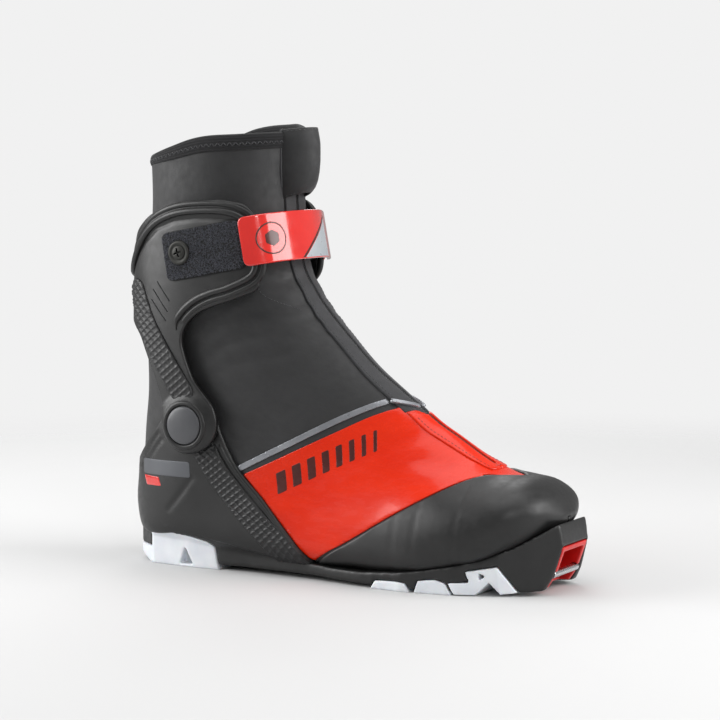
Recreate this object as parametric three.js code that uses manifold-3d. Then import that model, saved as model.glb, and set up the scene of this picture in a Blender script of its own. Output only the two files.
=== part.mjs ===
// Junior cross-country skate boot for the right foot, about EU 38, in millimetres.
// +X points to the toe, +Y to the medial side and +Z up. The pieces are drawn in a design frame whose
// ground is z = 0, and the finished group is then centred on its bounding box, with the ground at its base.

import * as THREE from "three";
import { mergeVertices } from "three/addons/utils/BufferGeometryUtils.js";
import Module from "manifold-3d";

const wasm = await Module();
wasm.setup();

// ---------------------------------------------------------------- driving dimensions

const GAP = 0.3; // between pieces that touch
const WALL = 3.5; // padded softshell upper
const COLLAR_WALL = 4.5; // padded collar
const FILM = 1.0; // film and tape on the upper
const RAND = 1.7; // moulded toe rand
const COUNTER = 2.9; // heel counter
const CUFF_WALL = 2.6; // plastic cuff
const LIP = 1.9; // how far the cuff's moulded lip stands out
const LIP_WIDTH = 4.2;
const RIVET = 4.5; // radius of the pivot rivet's shank
const FIT = 0.08; // radial clearance of what turns on it
const SOLE_WALL = 2.6; // sole wrapped round the upper

const PIVOT = { x: -84, z: 83 }; // ankle pivot of the cuff
const FLEX = { forward: 20, back: 5 }; // cuff travel in degrees
const DISC = 40; // radius about the pivot where the upper ends and the collar begins
const FRONT_RAY = 62; // the collar's front edge as an angle about the pivot, in degrees
const REAR_RAY = 140; // the collar's rear edge
const STRAP_TILT = 10.5; // the instep strap rises to the front, in degrees
const STRAP_CENTRE = { x: -75, z: 181 };
const BAR = { x: 129, z: 11, radius: 2 }; // toe bar that the binding grips
const ZIP_END = 85; // x of the zip's lower end
const ZIP_HALF = 1.8; // half the slot that the zip fills

const RINGS = 19; // mesh rings along the foot
const AROUND = 18; // mesh points round each ring

// Stations of the upper, from above the collar down the ankle and forward to the toe:
// front x, front z, back x, back z, lateral half-width, medial half-width, middle, front power, back power.
const UPPER = [
  [-35, 262, -127, 256, 37, 37, 0.5, 2.2, 2.2],
  [-36.5, 240, -126.2, 232, 37.5, 37, 0.5, 2.2, 2.2],
  [-37, 209, -125.5, 200, 38, 37.5, 0.5, 2.2, 2.2],
  [-33.5, 175, -129.5, 170, 38, 37.5, 0.5, 2.1, 2.2],
  [-24, 157, -131.3, 145, 37.5, 37, 0.52, 2.0, 2.3],
  [-11, 140.5, -129.5, 120, 36.5, 36, 0.55, 2.0, 2.4],
  [3, 126, -129.2, 98, 36, 35.5, 0.58, 2.0, 2.4],
  [17, 113, -132, 75, 36, 35, 0.6, 2.0, 2.4],
  [31, 102.5, -133.5, 52, 35.5, 34.5, 0.63, 2.0, 2.5],
  [44, 93.5, -133.5, 32, 35, 34, 0.65, 2.0, 2.7],
  [55, 85.5, -124, 14.5, 35, 33.5, 0.66, 2.0, 3.2],
  [64, 80, -95, 12, 35.5, 33.5, 0.66, 2.0, 3.8],
  [72, 75, -60, 9.5, 36.5, 34, 0.66, 2.0, 4],
  [79, 70.5, -20, 8, 39, 36, 0.66, 2.0, 4],
  [87, 66.5, 20, 7.5, 43, 40, 0.67, 2.1, 4],
  [96, 63.5, 55, 8.5, 45, 43, 0.68, 2.2, 4],
  [106, 61.5, 86, 14, 43, 43.5, 0.66, 2.3, 3.6],
  [116, 58.5, 107, 22, 37.5, 38.7, 0.6, 2.4, 3],
  [125, 52, 121, 31.5, 26.5, 28.4, 0.52, 2.4, 2.4],
  [129.8, 44, 129, 38, 10, 11, 0.5, 2.0, 2.0],
];

// Stations of the cuff's inner face, which are level rings.
const CUFF = [
  [12, 58, -134, 58, 41, 41, 0.5, 3, 3],
  [8, 95, -133.5, 95, 41.2, 41.2, 0.5, 3, 3],
  [0, 130, -133.5, 130, 41.8, 41.8, 0.5, 2.8, 2.8],
  [-5, 152, -134, 152, 42, 42, 0.5, 2.6, 2.6],
  [-6, 175, -133.2, 172, 42, 42, 0.5, 2.6, 2.6],
  [-9, 200, -130.5, 196, 41.6, 41.6, 0.5, 2.6, 2.6],
  [-10, 222, -129, 218, 41.5, 41.5, 0.5, 2.6, 2.6],
];

// Where the sole's wall ends against the upper, from heel to toe.
const FEATHER = [
  [-142, 28.5],
  [-116, 27],
  [-100, 25.6],
  [-85, 24.2],
  [-70, 22],
  [-41, 16],
  [-22, 11.8],
  [-5, 9.2],
  [8, 8.4],
  [26, 8.4],
  [51, 10.4],
  [62, 12],
  [82, 15.8],
  [97, 19.6],
  [112, 26],
  [124, 33.2],
  [133.6, 39],
];

// The collar's top edge, from the back to the front.
const RIM = [
  [-140, 230],
  [-127, 231.5],
  [-112, 234.6],
  [-97.5, 238.5],
  [-84, 242.3],
  [-72, 244.2],
  [-56, 245],
  [-36, 246.3],
  [-20, 246.8],
];

// ---------------------------------------------------------------- solids

function solid(geometry) {
  const bare = geometry.index ? geometry.toNonIndexed() : geometry.clone();
  bare.deleteAttribute("normal");
  bare.deleteAttribute("uv");
  const merged = mergeVertices(bare, 1e-4);
  return new wasm.Manifold(
    new wasm.Mesh({
      numProp: 3,
      vertProperties: new Float32Array(merged.attributes.position.array),
      triVerts: new Uint32Array(merged.index.array),
    }),
  );
}

function geometryOf(made) {
  const mesh = made.getMesh();
  const points = new Float32Array(mesh.numVert * 3);
  for (let i = 0; i < mesh.numVert; i++)
    points.set(
      mesh.vertProperties.subarray(i * mesh.numProp, i * mesh.numProp + 3),
      i * 3,
    );
  return new THREE.BufferGeometry()
    .setAttribute("position", new THREE.BufferAttribute(points, 3))
    .setIndex(new THREE.BufferAttribute(mesh.triVerts, 1));
}

// The largest of the separate bodies that a cut has left.
function largest(made) {
  return made.decompose().reduce((a, b) => (b.volume() > a.volume() ? b : a));
}

function box(xLow, xHigh, yLow, yHigh, zLow, zHigh) {
  const geometry = new THREE.BoxGeometry(
    xHigh - xLow,
    yHigh - yLow,
    zHigh - zLow,
  );
  geometry.translate(
    (xLow + xHigh) / 2,
    (yLow + yHigh) / 2,
    (zLow + zHigh) / 2,
  );
  return solid(geometry);
}

const toShape = (points) =>
  new THREE.Shape(points.map(([x, y]) => new THREE.Vector2(x, y)));

// An outline drawn in the side view, pushed across the boot from yLow to yHigh.
function across(points, yLow = -80, yHigh = 80) {
  const geometry = new THREE.ExtrudeGeometry(toShape(points), {
    depth: yHigh - yLow,
    bevelEnabled: false,
  });
  geometry.rotateX(Math.PI / 2);
  geometry.translate(0, yHigh, 0);
  return solid(geometry);
}

// An outline drawn in the plan view, pushed up from zLow to zHigh.
function upward(points, zLow, zHigh) {
  const geometry = new THREE.ExtrudeGeometry(toShape(points), {
    depth: zHigh - zLow,
    bevelEnabled: false,
  });
  geometry.translate(0, 0, zLow);
  return solid(geometry);
}

// A band of even width along a smooth path in the side view.
function ribbon(line, width) {
  const edge = (side) =>
    line.map(([x, z], i) => {
      const [ax, az] = line[Math.max(0, i - 1)];
      const [bx, bz] = line[Math.min(line.length - 1, i + 1)];
      const length = Math.hypot(bx - ax, bz - az);
      const reach = (side * width) / 2 / length;
      return [x - (bz - az) * reach, z + (bx - ax) * reach];
    });
  return [...edge(-1), ...edge(1).reverse()];
}

// Everything about the pivot from radius inner outward, between two angles in degrees.
function sector(inner, from, to, outer = 260) {
  const arc = (radius, a, b) =>
    Array.from({ length: 13 }, (_, i) => {
      const angle = THREE.MathUtils.degToRad(a + ((b - a) * i) / 12);
      return [
        PIVOT.x + radius * Math.cos(angle),
        PIVOT.z + radius * Math.sin(angle),
      ];
    });
  return [...arc(inner, from, to), ...arc(outer, to, from)];
}

// A round piece turned about the line through (x, z) that runs across the boot. Its profile is
// radius and distance from the boot's middle plane, and side is -1 lateral or +1 medial.
function turned(x, z, side, profile, segments = 16) {
  const points = profile.map(([r, y]) => new THREE.Vector2(r, y));
  const geometry = new THREE.LatheGeometry(points, segments);
  if (side < 0) geometry.rotateX(Math.PI);
  geometry.translate(x, 0, z);
  return solid(geometry);
}

const disc = (x, z, side, radius, yLow, yHigh, segments = 16) =>
  turned(
    x,
    z,
    side,
    [
      [0, yLow],
      [radius, yLow],
      [radius, yHigh],
      [0, yHigh],
    ],
    segments,
  );

// ---------------------------------------------------------------- ringed surfaces

// Catmull-Rom through the stations' rows, at a place counted in stations.
function stationAt(rows, place) {
  const i = Math.min(Math.floor(place), rows.length - 2);
  const t = place - i;
  const row = (k) => rows[Math.min(Math.max(k, 0), rows.length - 1)];
  const [a, b, c, d] = [row(i - 1), row(i), row(i + 1), row(i + 2)];
  return b.map(
    (_, n) =>
      0.5 *
      (2 * b[n] +
        (c[n] - a[n]) * t +
        (2 * a[n] - 5 * b[n] + 4 * c[n] - d[n]) * t * t +
        (3 * b[n] - a[n] - 3 * c[n] + d[n]) * t ** 3),
  );
}

// A point of a ring: angle 0 is its front, and it turns to the lateral side first.
function ringPoint(station, angle) {
  const [fx, fz, bx, bz, lateral, medial, middle, frontPower, backPower] =
    station;
  const cos = Math.cos(angle);
  const sin = Math.sin(angle);
  const power = 2 / (cos > 0 ? frontPower : backPower);
  const reach = Math.abs(cos) ** power;
  const along = cos > 0 ? middle * (1 - reach) : middle + (1 - middle) * reach;
  const y =
    sin > 0 ? -lateral * sin ** power : medial * Math.abs(sin) ** power;
  return [fx + (bx - fx) * along, y, fz + (bz - fz) * along];
}

// The closed solid inside a ringed surface that is moved outward by offset.
function ringed(rows, rings, offset, lift = 0) {
  const points = [];
  for (let i = 0; i <= rings; i++) {
    const station = stationAt(rows, ((rows.length - 1) * i) / rings);
    for (let j = 0; j < AROUND; j++)
      points.push(...ringPoint(station, (2 * Math.PI * j) / AROUND));
  }
  const index = [];
  for (let i = 0; i < rings; i++)
    for (let j = 0; j < AROUND; j++) {
      const a = i * AROUND + j;
      const b = i * AROUND + ((j + 1) % AROUND);
      index.push(a, b, a + AROUND, b, b + AROUND, a + AROUND);
    }
  const skin = new THREE.BufferGeometry()
    .setAttribute("position", new THREE.Float32BufferAttribute(points, 3))
    .setIndex(index);
  skin.computeVertexNormals();
  const place = skin.attributes.position;
  const normal = skin.attributes.normal;
  const facing = Math.sign(normal.getX(0));
  for (let k = 0; k < place.count; k++)
    place.setXYZ(
      k,
      place.getX(k) + normal.getX(k) * offset * facing,
      place.getY(k) + normal.getY(k) * offset * facing,
      place.getZ(k) + normal.getZ(k) * offset * facing + lift,
    );
  for (let j = 1; j < AROUND - 1; j++) {
    const last = rings * AROUND;
    index.push(0, j + 1, j);
    index.push(last, last + j, last + j + 1);
  }
  if (facing < 0) index.reverse();
  skin.setIndex(index);
  return solid(skin);
}

const upperBody = (offset, lift = 0) => ringed(UPPER, RINGS, offset, lift);
const cuffBody = (offset) => ringed(CUFF, 12, offset);

const upperLayer = (low, high) => upperBody(high).subtract(upperBody(low));
const cuffLayer = (low, high) => cuffBody(high).subtract(cuffBody(low));

const LATERAL = box(-300, 300, -200, -GAP / 2, -100, 400);
const MEDIAL = box(-300, 300, GAP / 2, 200, -100, 400);
const half = (side) => (side < 0 ? LATERAL : MEDIAL);
const zipSlot = box(-60, ZIP_END, -ZIP_HALF, ZIP_HALF, 58, 400);

// ---------------------------------------------------------------- materials

const material = (color, roughness, metalness = 0) =>
  new THREE.MeshStandardMaterial({ color, roughness, metalness });
const softshell = material(0x2b2c2b, 0.55);
const knit = material(0x1a1b1e, 0.95);
const blackPlastic = material(0x333432, 0.45);
const texturedPlastic = material(0x2a2b2a, 0.6);
const soleRubber = material(0x262726, 0.6);
const whitePlastic = material(0xe6eaec, 0.4);
const redPlastic = material(0xc81e17, 0.35);
const redFilm = material(0xdc3210, 0.2);
const silverFilm = material(0x8f9496, 0.3, 0.4);
const steel = material(0xd8dade, 0.25, 1);
const screwMetal = material(0x4b4c4a, 0.4, 0.8);
const hookFabric = material(0x14151a, 1);
const foam = material(0x3c3d40, 0.95);
const cordFabric = material(0x202124, 0.9);
const board = material(0x8d8a80, 0.9);

const boot = new THREE.Group();
boot.name = "skate_boot";

function add(name, made, finish) {
  const mesh = new THREE.Mesh(geometryOf(largest(made)), finish);
  mesh.name = name;
  boot.add(mesh);
}

// ---------------------------------------------------------------- sole

// The sole in plan: the foot's outline with the blunt nose that holds the toe bar.
const solePlan = [
  [133, 18.8],
  [122, 27],
  [108, 36],
  [85, 42.5],
  [58, 42.5],
  [28, 37],
  [-5, 31.5],
  [-50, 30],
  [-90, 30.5],
  [-116, 27.5],
  [-131, 16],
  [-135, 0],
  [-131, -16],
  [-116, -28],
  [-90, -31.5],
  [-50, -32],
  [-10, -36],
  [25, -42.5],
  [52, -45.5],
  [82, -43],
  [106, -35.5],
  [122, -26],
  [133, -18.8],
  [135.8, -16.8],
  [135.8, 16.8],
];

const soleProfile = [
  ...FEATHER,
  [134.8, 34],
  [135.8, 27],
  [135, 23],
  [130.5, 10],
  [126, 2.7],
  [112, 1.6],
  [100, 1.8],
  [75, 1.8],
  [25, 1.8],
  [-10, 2.8],
  [-115, 2.8],
  [-126, 4],
  [-134, 11],
  [-139, 18],
];

const HEEL_TREAD = [
  [-120, 0],
  [-128, 2.5],
  [-140, 9],
  [-141, 15],
  [-134, 18.6],
  [-126, 20],
  [-113, 20.6],
  [-94, 19.4],
  [-76, 15.8],
  [-72.6, 13],
  [-70, 0],
];

// The three-cornered windows in the sides of the heel tread and of the front tread.
const HEEL_WINDOW = [
  [-96.5, 1.6],
  [-87, 1.6],
  [-92.8, 11.6],
];
const FRONT_WINDOW = [
  [95.6, 8.6],
  [95.6, 13],
  [99.4, 10.6],
];
const FRONT_TREAD = [
  [83, 0.4],
  [79.5, 6.5],
  [91, 7.2],
  [88.6, 13],
  [105.2, 16],
  [115, 2],
  [107, 1.2],
  [101, 7.6],
  [94, 0.4],
];
const MID_TREAD = [
  [60, 0],
  [62.5, 6.6],
  [72, 7.8],
  [78, 6.2],
  [81.5, 0],
];
const BALL_TREAD = [
  [33, 0],
  [36, 4.6],
  [49, 5.2],
  [55, 4.6],
  [57.5, 0],
];

// An outline whose sides are all pushed outward by the same distance.
function widened(points, distance) {
  const turn = points.reduce((sum, [x, z], i) => {
    const [nx, nz] = points[(i + 1) % points.length];
    return sum + x * nz - nx * z;
  }, 0);
  const outward = ([ax, az], [bx, bz]) => {
    const length = Math.hypot(bx - ax, bz - az) * Math.sign(turn);
    return [(bz - az) / length, (ax - bx) / length];
  };
  return points.map((point, i) => {
    const n = points.length;
    const [px, pz] = outward(points[(i + n - 1) % n], point);
    const [qx, qz] = outward(point, points[(i + 1) % n]);
    const reach = distance / Math.max(1 + px * qx + pz * qz, 0.3);
    return [point[0] + (px + qx) * reach, point[1] + (pz + qz) * reach];
  });
}

const grooves = [-1, 1].map((side) =>
  box(-145, 118, 12.5 * side - 3.5, 12.5 * side + 3.5, -5, 3.9),
);
const cutGrooves = (made) =>
  grooves.reduce((rest, groove) => rest.subtract(groove), made);

function addSole() {
  const innerFoot = upperBody(GAP);
  const wrap = upperBody(SOLE_WALL + GAP).intersect(across(soleProfile));
  const slab = upward(solePlan, -2, 60);
  const nose = upward(
    [
      [104, -19.5],
      [137, -17.5],
      [137, 17.5],
      [104, 19.5],
    ],
    0,
    44,
  );
  const block = wrap
    .add(slab.intersect(across(soleProfile)))
    .add(nose.intersect(across(soleProfile)))
    .subtract(innerFoot);
  const lugBlock = wrap
    .add(slab)
    .subtract(innerFoot)
    .subtract(box(117 - GAP, 150, -16.5 - GAP, 16.5 + GAP, -5, 26.5));

  // The heel tread climbs the side walls only, and stays low under the heel.
  const heelCore = (ease) => box(-160, -60, -26 + ease, 26 - ease, 9.5, 40);
  const treads = {
    heel_tread: [HEEL_TREAD, heelCore],
    front_tread: [FRONT_TREAD],
    mid_tread: [MID_TREAD],
    ball_tread: [BALL_TREAD],
  };
  let outsole = block;
  const windows = [HEEL_WINDOW, FRONT_WINDOW].flatMap((corners) => [
    across(corners, -60, -25),
    across(corners, 25, 60),
  ]);
  for (const [name, [outline, core]] of Object.entries(treads)) {
    const tool = windows.reduce((rest, window) => rest.subtract(window), across(outline));
    const room = across(widened(outline, GAP));
    add(
      name,
      cutGrooves(lugBlock.intersect(core ? tool.subtract(core(0)) : tool)),
      whitePlastic,
    );
    outsole = outsole.subtract(core ? room.subtract(core(GAP)) : room);
  }

  const pocket = box(117, 150, -16.5, 16.5, -5, 26.5);
  add("outsole", cutGrooves(outsole.subtract(pocket)), soleRubber);

  const insertProfile = [
    [117.3, 3.4],
    [125.6, 3.6],
    [130, 10],
    [135, 24],
    [135.4, 26.2],
    [117.3, 26.2],
  ];
  const barRoom = turned(
    BAR.x,
    BAR.z,
    1,
    [
      [0, -20],
      [BAR.radius + GAP, -20],
      [BAR.radius + GAP, 20],
      [0, 20],
    ],
    20,
  );
  add(
    "toe_insert",
    across(insertProfile, -16.2, 16.2)
      .subtract(box(120.3, 150, -13, 13, -5, 23.4))
      .subtract(barRoom),
    redPlastic,
  );
  add(
    "toe_bar",
    turned(
      BAR.x,
      BAR.z,
      1,
      [
        [0, -15.9],
        [BAR.radius, -15.9],
        [BAR.radius, 15.9],
        [0, 15.9],
      ],
      20,
    ),
    steel,
  );
}

// ---------------------------------------------------------------- upper, root side of the joint

const belowFlex = (front, rear) => across(sector(DISC - 0.5, front, rear));
const FLEX_FRONT = FRONT_RAY - FLEX.forward - 2; // the upper's edge in front of the flex zone
const FLEX_REAR = REAR_RAY + FLEX.back + 11;

// The brace that runs from the pivot down to the midfoot.
const BRACE_PATH = [
  [-79, 75],
  [-68, 57.5],
  [-54.5, 42.5],
  [-41, 30],
  [-22, 14],
];

// The lower edge of the red film, which is the top edge of the toe rand.
const RAND_EDGE = [
  [-8, 9.6],
  [17.8, 23.2],
  [49.8, 42.3],
  [76.9, 56.9],
  [90, 61.4],
  [108, 67],
];

// The silver stripe above the red film.
const STRIPE_PATH = [
  [-56, 58.3],
  [-25.3, 73.7],
  [3.9, 88.7],
  [20.8, 96.4],
  [32, 102],
];

function addUpper() {
  const shell = upperLayer(-WALL, 0).subtract(
    belowFlex(FLEX_FRONT, FLEX_REAR),
  );
  add("upper_lateral", shell.intersect(LATERAL).subtract(zipSlot), softshell);
  add("upper_medial", shell.intersect(MEDIAL).subtract(zipSlot), softshell);

  const inner = -WALL - GAP;
  const footBottom = box(-150, 150, -60, 60, -10, 40);
  const aboveTray = [
    [-160, 24],
    [-100, 24],
    [-60, 20],
    [60, 18],
    [110, 30],
    [140, 46],
    [140, 90],
    [-160, 90],
  ];
  const tray = (low, high) =>
    upperBody(inner, low)
      .intersect(upperBody(inner))
      .subtract(upperBody(inner, high))
      .intersect(footBottom)
      .subtract(across(aboveTray));
  add("lasting_board", tray(0, 2), board);
  add("insole", tray(2 + GAP, 6), foam);
}

// The stretch of the upper that creases when the cuff flexes, and the one behind it at the heel tendon.
function addFlexZone() {
  const shell = upperLayer(-WALL, 0);
  const ease = 0.6; // degrees left free at each edge
  for (const side of [-1, 1])
    add(
      side < 0 ? "flex_gusset_lateral" : "flex_gusset_medial",
      shell
        .intersect(across(sector(DISC + 0.3, FLEX_FRONT + ease, FRONT_RAY - ease)))
        .intersect(half(side))
        .subtract(zipSlot),
      softshell,
    );
  add(
    "tendon_gusset",
    shell.intersect(across(sector(DISC + 0.3, REAR_RAY + ease, FLEX_REAR - ease))),
    softshell,
  );
}

function addOverlays() {
  const rear = [
    [-150, 57.5],
    [-134, 57.5],
    [-128, 60.5],
    [-122, 66],
    [-111.5, 77.5],
    [-103, 85],
  ];
  const sole = across([
    ...FEATHER.map(([x, z]) => [x, z + GAP]),
    [150, -20],
    [-160, -20],
    [-160, 29],
  ]);
  const outline = [
    ...rear,
    [-97, 96],
    [-84, 101],
    [-71, 95],
    [-64.5, 79],
    [-54, 59.5],
    [-39.5, 43.3],
    [-26.5, 29.5],
    [-13, 15],
    [-9, 6],
    [-150, 6],
  ];
  let counter = upperLayer(GAP, COUNTER).intersect(across(outline));
  for (const side of [-1, 1])
    counter = counter.add(disc(PIVOT.x, PIVOT.z, side, 16, 34, 38.7));
  counter = counter.subtract(upperBody(GAP)).subtract(sole);
  for (const side of [-1, 1])
    counter = counter
      .subtract(disc(PIVOT.x, PIVOT.z, side, 4.8, 20, 60))
      .subtract(disc(PIVOT.x, PIVOT.z, side, 8.4, 20, 37.5));
  add("heel_counter", counter, blackPlastic);

  const brace = across(ribbon(BRACE_PATH, 15));
  const braceLayer = upperLayer(COUNTER + GAP, COUNTER + 1.5).intersect(brace);
  for (const side of [-1, 1])
    add(
      side < 0 ? "brace_grip_lateral" : "brace_grip_medial",
      braceLayer
        .intersect(half(side))
        .subtract(disc(PIVOT.x, PIVOT.z, side, 18, 20, 60))
        .subtract(sole),
      texturedPlastic,
    );

  const randOutline = [
    ...RAND_EDGE,
    [150, 75],
    [150, -10],
    [5, -10],
  ];
  const besideBrace = [
    [-64, 80],
    ...BRACE_PATH.slice(1).map(([x, z]) => [x + 9, z + 6]),
    [10, 15],
  ];
  const seam = across(ribbon(besideBrace, 0.8));
  add(
    "toe_rand",
    upperLayer(GAP, RAND)
      .intersect(across(randOutline))
      .subtract(across(outline))
      .subtract(sole)
      .subtract(seam),
    blackPlastic,
  );

  const filmOutline = [
    [-11, 14.8],
    ...RAND_EDGE.slice(1).map(([x, z]) => [x - 0.5, z + 0.6]),
    [90, 90],
    [52, 108],
    [34.4, 96.5],
    [19.1, 90.1],
    [-2.4, 79.3],
    [-31, 65.5],
    [-51.5, 56],
  ];
  add(
    "vamp_film",
    upperLayer(GAP, FILM)
      .intersect(across(filmOutline))
      .subtract(across(outline))
      .subtract(box(-60, ZIP_END + 2, -12.6, 12.6, 58, 400)),
    redFilm,
  );
  for (const side of [-1, 1])
    add(
      side < 0 ? "stripe_lateral" : "stripe_medial",
      upperLayer(GAP, FILM)
        .intersect(across(ribbon(STRIPE_PATH, 3.4)))
        .intersect(half(side))
        .subtract(across(outline))
        .subtract(box(-60, 60, -12.6, 12.6, 58, 400)),
      silverFilm,
    );
}

// ---------------------------------------------------------------- zip and lacing

// The band of the upper's front that lies between two heights of the ridge.
const ridgeBand = (low) =>
  across([
    [low[0] + 30, low[1] + 10],
    [low[0], low[1] - 22],
    [40, 60],
    [-2, 90],
    [-30, 130],
    [-55, 165],
    [-60, 236],
    [20, 236],
    [60, 140],
  ]);

function addZip() {
  const band = ridgeBand([ZIP_END, 72]).subtract(
    box(ZIP_END, 200, -60, 60, 0, 200),
  );
  const tape = upperLayer(GAP, FILM + GAP).intersect(band);
  const chain = upperLayer(-1.5, FILM + 0.8)
    .intersect(band)
    .intersect(box(-100, ZIP_END - GAP, GAP - ZIP_HALF, ZIP_HALF - GAP, 0, 400));
  const stretches = {
    vamp: across(sector(10, -30, FLEX_FRONT)),
    collar: across(sector(DISC, FRONT_RAY, 110)),
  };
  for (const [name, stretch] of Object.entries(stretches)) {
    add("zip_chain_" + name, chain.intersect(stretch), cordFabric);
    const strips = {
      lateral: box(-100, 100, -12, -ZIP_HALF, 0, 400),
      medial: box(-100, 100, ZIP_HALF, 12, 0, 400),
    };
    for (const [end, strip] of Object.entries(strips))
      add(
        "zip_tape_" + name + "_" + end,
        tape.intersect(strip).intersect(stretch),
        knit,
      );
  }
  add(
    "zip_flex",
    tape
      .intersect(box(-100, 100, -12, 12, 0, 400))
      .intersect(across(sector(DISC, FLEX_FRONT + 0.6, FRONT_RAY - 0.6))),
    knit,
  );
}

// A point at depth below the upper's front, at a place counted in stations and a distance y to one side.
function frontPoint(place, y, depth) {
  const station = stationAt(UPPER, place);
  const ahead = stationAt(UPPER, place + 0.05);
  const slope = Math.atan2(ahead[1] - station[1], ahead[0] - station[0]);
  const halfWidth = y < 0 ? station[4] : station[5];
  const sine = (Math.abs(y) / halfWidth) ** (station[7] / 2);
  const [px, , pz] = ringPoint(station, Math.asin(sine));
  return new THREE.Vector3(
    px + Math.sin(slope) * depth,
    y,
    pz - Math.cos(slope) * depth,
  );
}

const LACE = { radius: 1, rows: 6, from: 12, to: 6.6, halfSpan: 11 };

// The lace crosses from stay to stay, and threads each stay at its turn.
function lacePath() {
  const points = [];
  for (let i = 0; i <= LACE.rows; i++) {
    const place = LACE.from + ((LACE.to - LACE.from) * i) / LACE.rows;
    const side = i % 2 ? 1 : -1;
    points.push(frontPoint(place, side * LACE.halfSpan * 0.6, 8.6));
    points.push(frontPoint(place - 0.16, side * LACE.halfSpan, 8.3));
    points.push(frontPoint(place - 0.34, side * LACE.halfSpan * 0.6, 8.6));
  }
  return new THREE.CatmullRomCurve3(points);
}

function laceTube(radius) {
  const section = new THREE.Shape();
  section.absarc(0, 0, radius, 0, 2 * Math.PI);
  return solid(
    new THREE.ExtrudeGeometry(section, {
      steps: 54,
      curveSegments: 3,
      extrudePath: lacePath(),
    }),
  );
}

function addLacing() {
  const lace = laceTube(LACE.radius);
  const room = laceTube(LACE.radius + 2 * GAP);
  add("lace", lace, cordFabric);
  const run = across([
    [78, 76],
    [74, 56],
    [30, 78],
    [-6, 110],
    [-6, 150],
    [60, 120],
  ]);
  for (const side of [-1, 1]) {
    const strip =
      side < 0
        ? box(-100, 100, -22, -9.5, 0, 400)
        : box(-100, 100, 9.5, 22, 0, 400);
    add(
      side < 0 ? "lace_stay_lateral" : "lace_stay_medial",
      upperLayer(-WALL - 4.8, -WALL - GAP).intersect(run).intersect(strip).subtract(room),
      softshell,
    );
  }
  const tongueRun = ridgeBand([76, 76]);
  add(
    "tongue",
    upperLayer(-14.6, -11.8)
      .intersect(tongueRun)
      .intersect(box(-100, 100, -19, 19, 0, 236))
      .subtract(room),
    foam,
  );
}

// ---------------------------------------------------------------- pivots

function addPivots() {
  for (const side of [-1, 1]) {
    const end = side < 0 ? "lateral" : "medial";
    add(
      "pivot_rivet_" + end,
      turned(
        PIVOT.x,
        PIVOT.z,
        side,
        [
          [0, 36.3],
          [8, 36.3],
          [8, 37.2],
          [RIVET, 37.2],
          [RIVET, 44.1],
          [7.5, 44.1],
          [7.2, 45],
          [0, 45],
        ],
        24,
      ),
      steel,
    );
    add(
      "pivot_washer_" + end,
      disc(PIVOT.x, PIVOT.z, side, 11, 39, 40.7).subtract(
        disc(PIVOT.x, PIVOT.z, side, 4.8, 30, 50),
      ),
      whitePlastic,
    );
    add(
      "pivot_cap_" + end,
      turned(PIVOT.x, PIVOT.z, side, [
        [0, 45.3],
        [10.7, 45.3],
        [10.7, 46.2],
        [9, 47.1],
        [4.5, 47.6],
        [0, 47.8],
      ]),
      blackPlastic,
    );
  }
}

// ---------------------------------------------------------------- cuff side of the joint

// The cuff in the side view: wing, front edge down to the pivot, and back up to the rear.
const CUFF_OUTLINE = [
  [-146, 172],
  [-134, 177],
  [-123, 191.5],
  [-112, 199.5],
  [-99, 205.5],
  [-84, 209],
  [-60, 210],
  [-46, 207.5],
  [-38, 199.5],
  [-36, 188],
  [-36, 174],
  [-38, 160],
  [-54, 154],
  [-66, 150.3],
  [-75, 146.8],
  [-81.5, 142],
  [-86, 135.5],
  [-86.8, 129],
  [-84.2, 120],
  [-79, 108],
  [-71.5, 100],
  [-66, 93.5],
  [-63.8, 85],
  [-65.3, 77],
  [-70.5, 70.5],
  [-79, 66.6],
  [-88, 66.4],
  [-96, 71],
  [-100.5, 80],
  [-101, 96],
  [-107.5, 112],
  [-118, 132],
  [-130, 141],
  [-146, 143],
];

// The medial wing ends further back than the lateral one, to leave the strap its hinge.
const shortened = (line) => line.map(([x, z]) => (x > -60 ? [-60 + (x + 60) * 0.58, z] : [x, z]));

// The moulded lip: over the wing's top edge, round its front and back along its lower edge to a hook.
const LIP_PATH = [
  [-127, 172],
  [-120.5, 181.5],
  [-113, 190.5],
  [-103, 198],
  [-90, 202.8],
  [-75, 204.8],
  [-58, 205],
  [-46.5, 201.5],
  [-40, 193],
  [-38.8, 180],
  [-40.5, 167],
  [-55, 160.2],
  [-66.5, 156.8],
  [-76, 152.7],
  [-83.5, 147.5],
  [-88.3, 141],
  [-88.6, 135.5],
];

const GRIP_PATH = [
  [-113, 158],
  [-107, 136],
  [-95, 112],
  [-88.5, 99],
];

function tilted(points) {
  const angle = THREE.MathUtils.degToRad(STRAP_TILT);
  return points.map(([x, z]) => [
    STRAP_CENTRE.x + x * Math.cos(angle) - z * Math.sin(angle),
    STRAP_CENTRE.z + x * Math.sin(angle) + z * Math.cos(angle),
  ]);
}

// A level rectangle with clipped corners, in the strap's own tilted frame.
const plate = (xLow, xHigh, zLow, zHigh, clip = 3) =>
  tilted([
    [xLow + clip, zLow],
    [xHigh - clip, zLow],
    [xHigh, zLow + clip],
    [xHigh, zHigh - clip],
    [xHigh - clip, zHigh],
    [xLow + clip, zHigh],
    [xLow, zHigh - clip],
    [xLow, zLow + clip],
  ]);

const SCREW = { x: -86, z: 180 };

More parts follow.
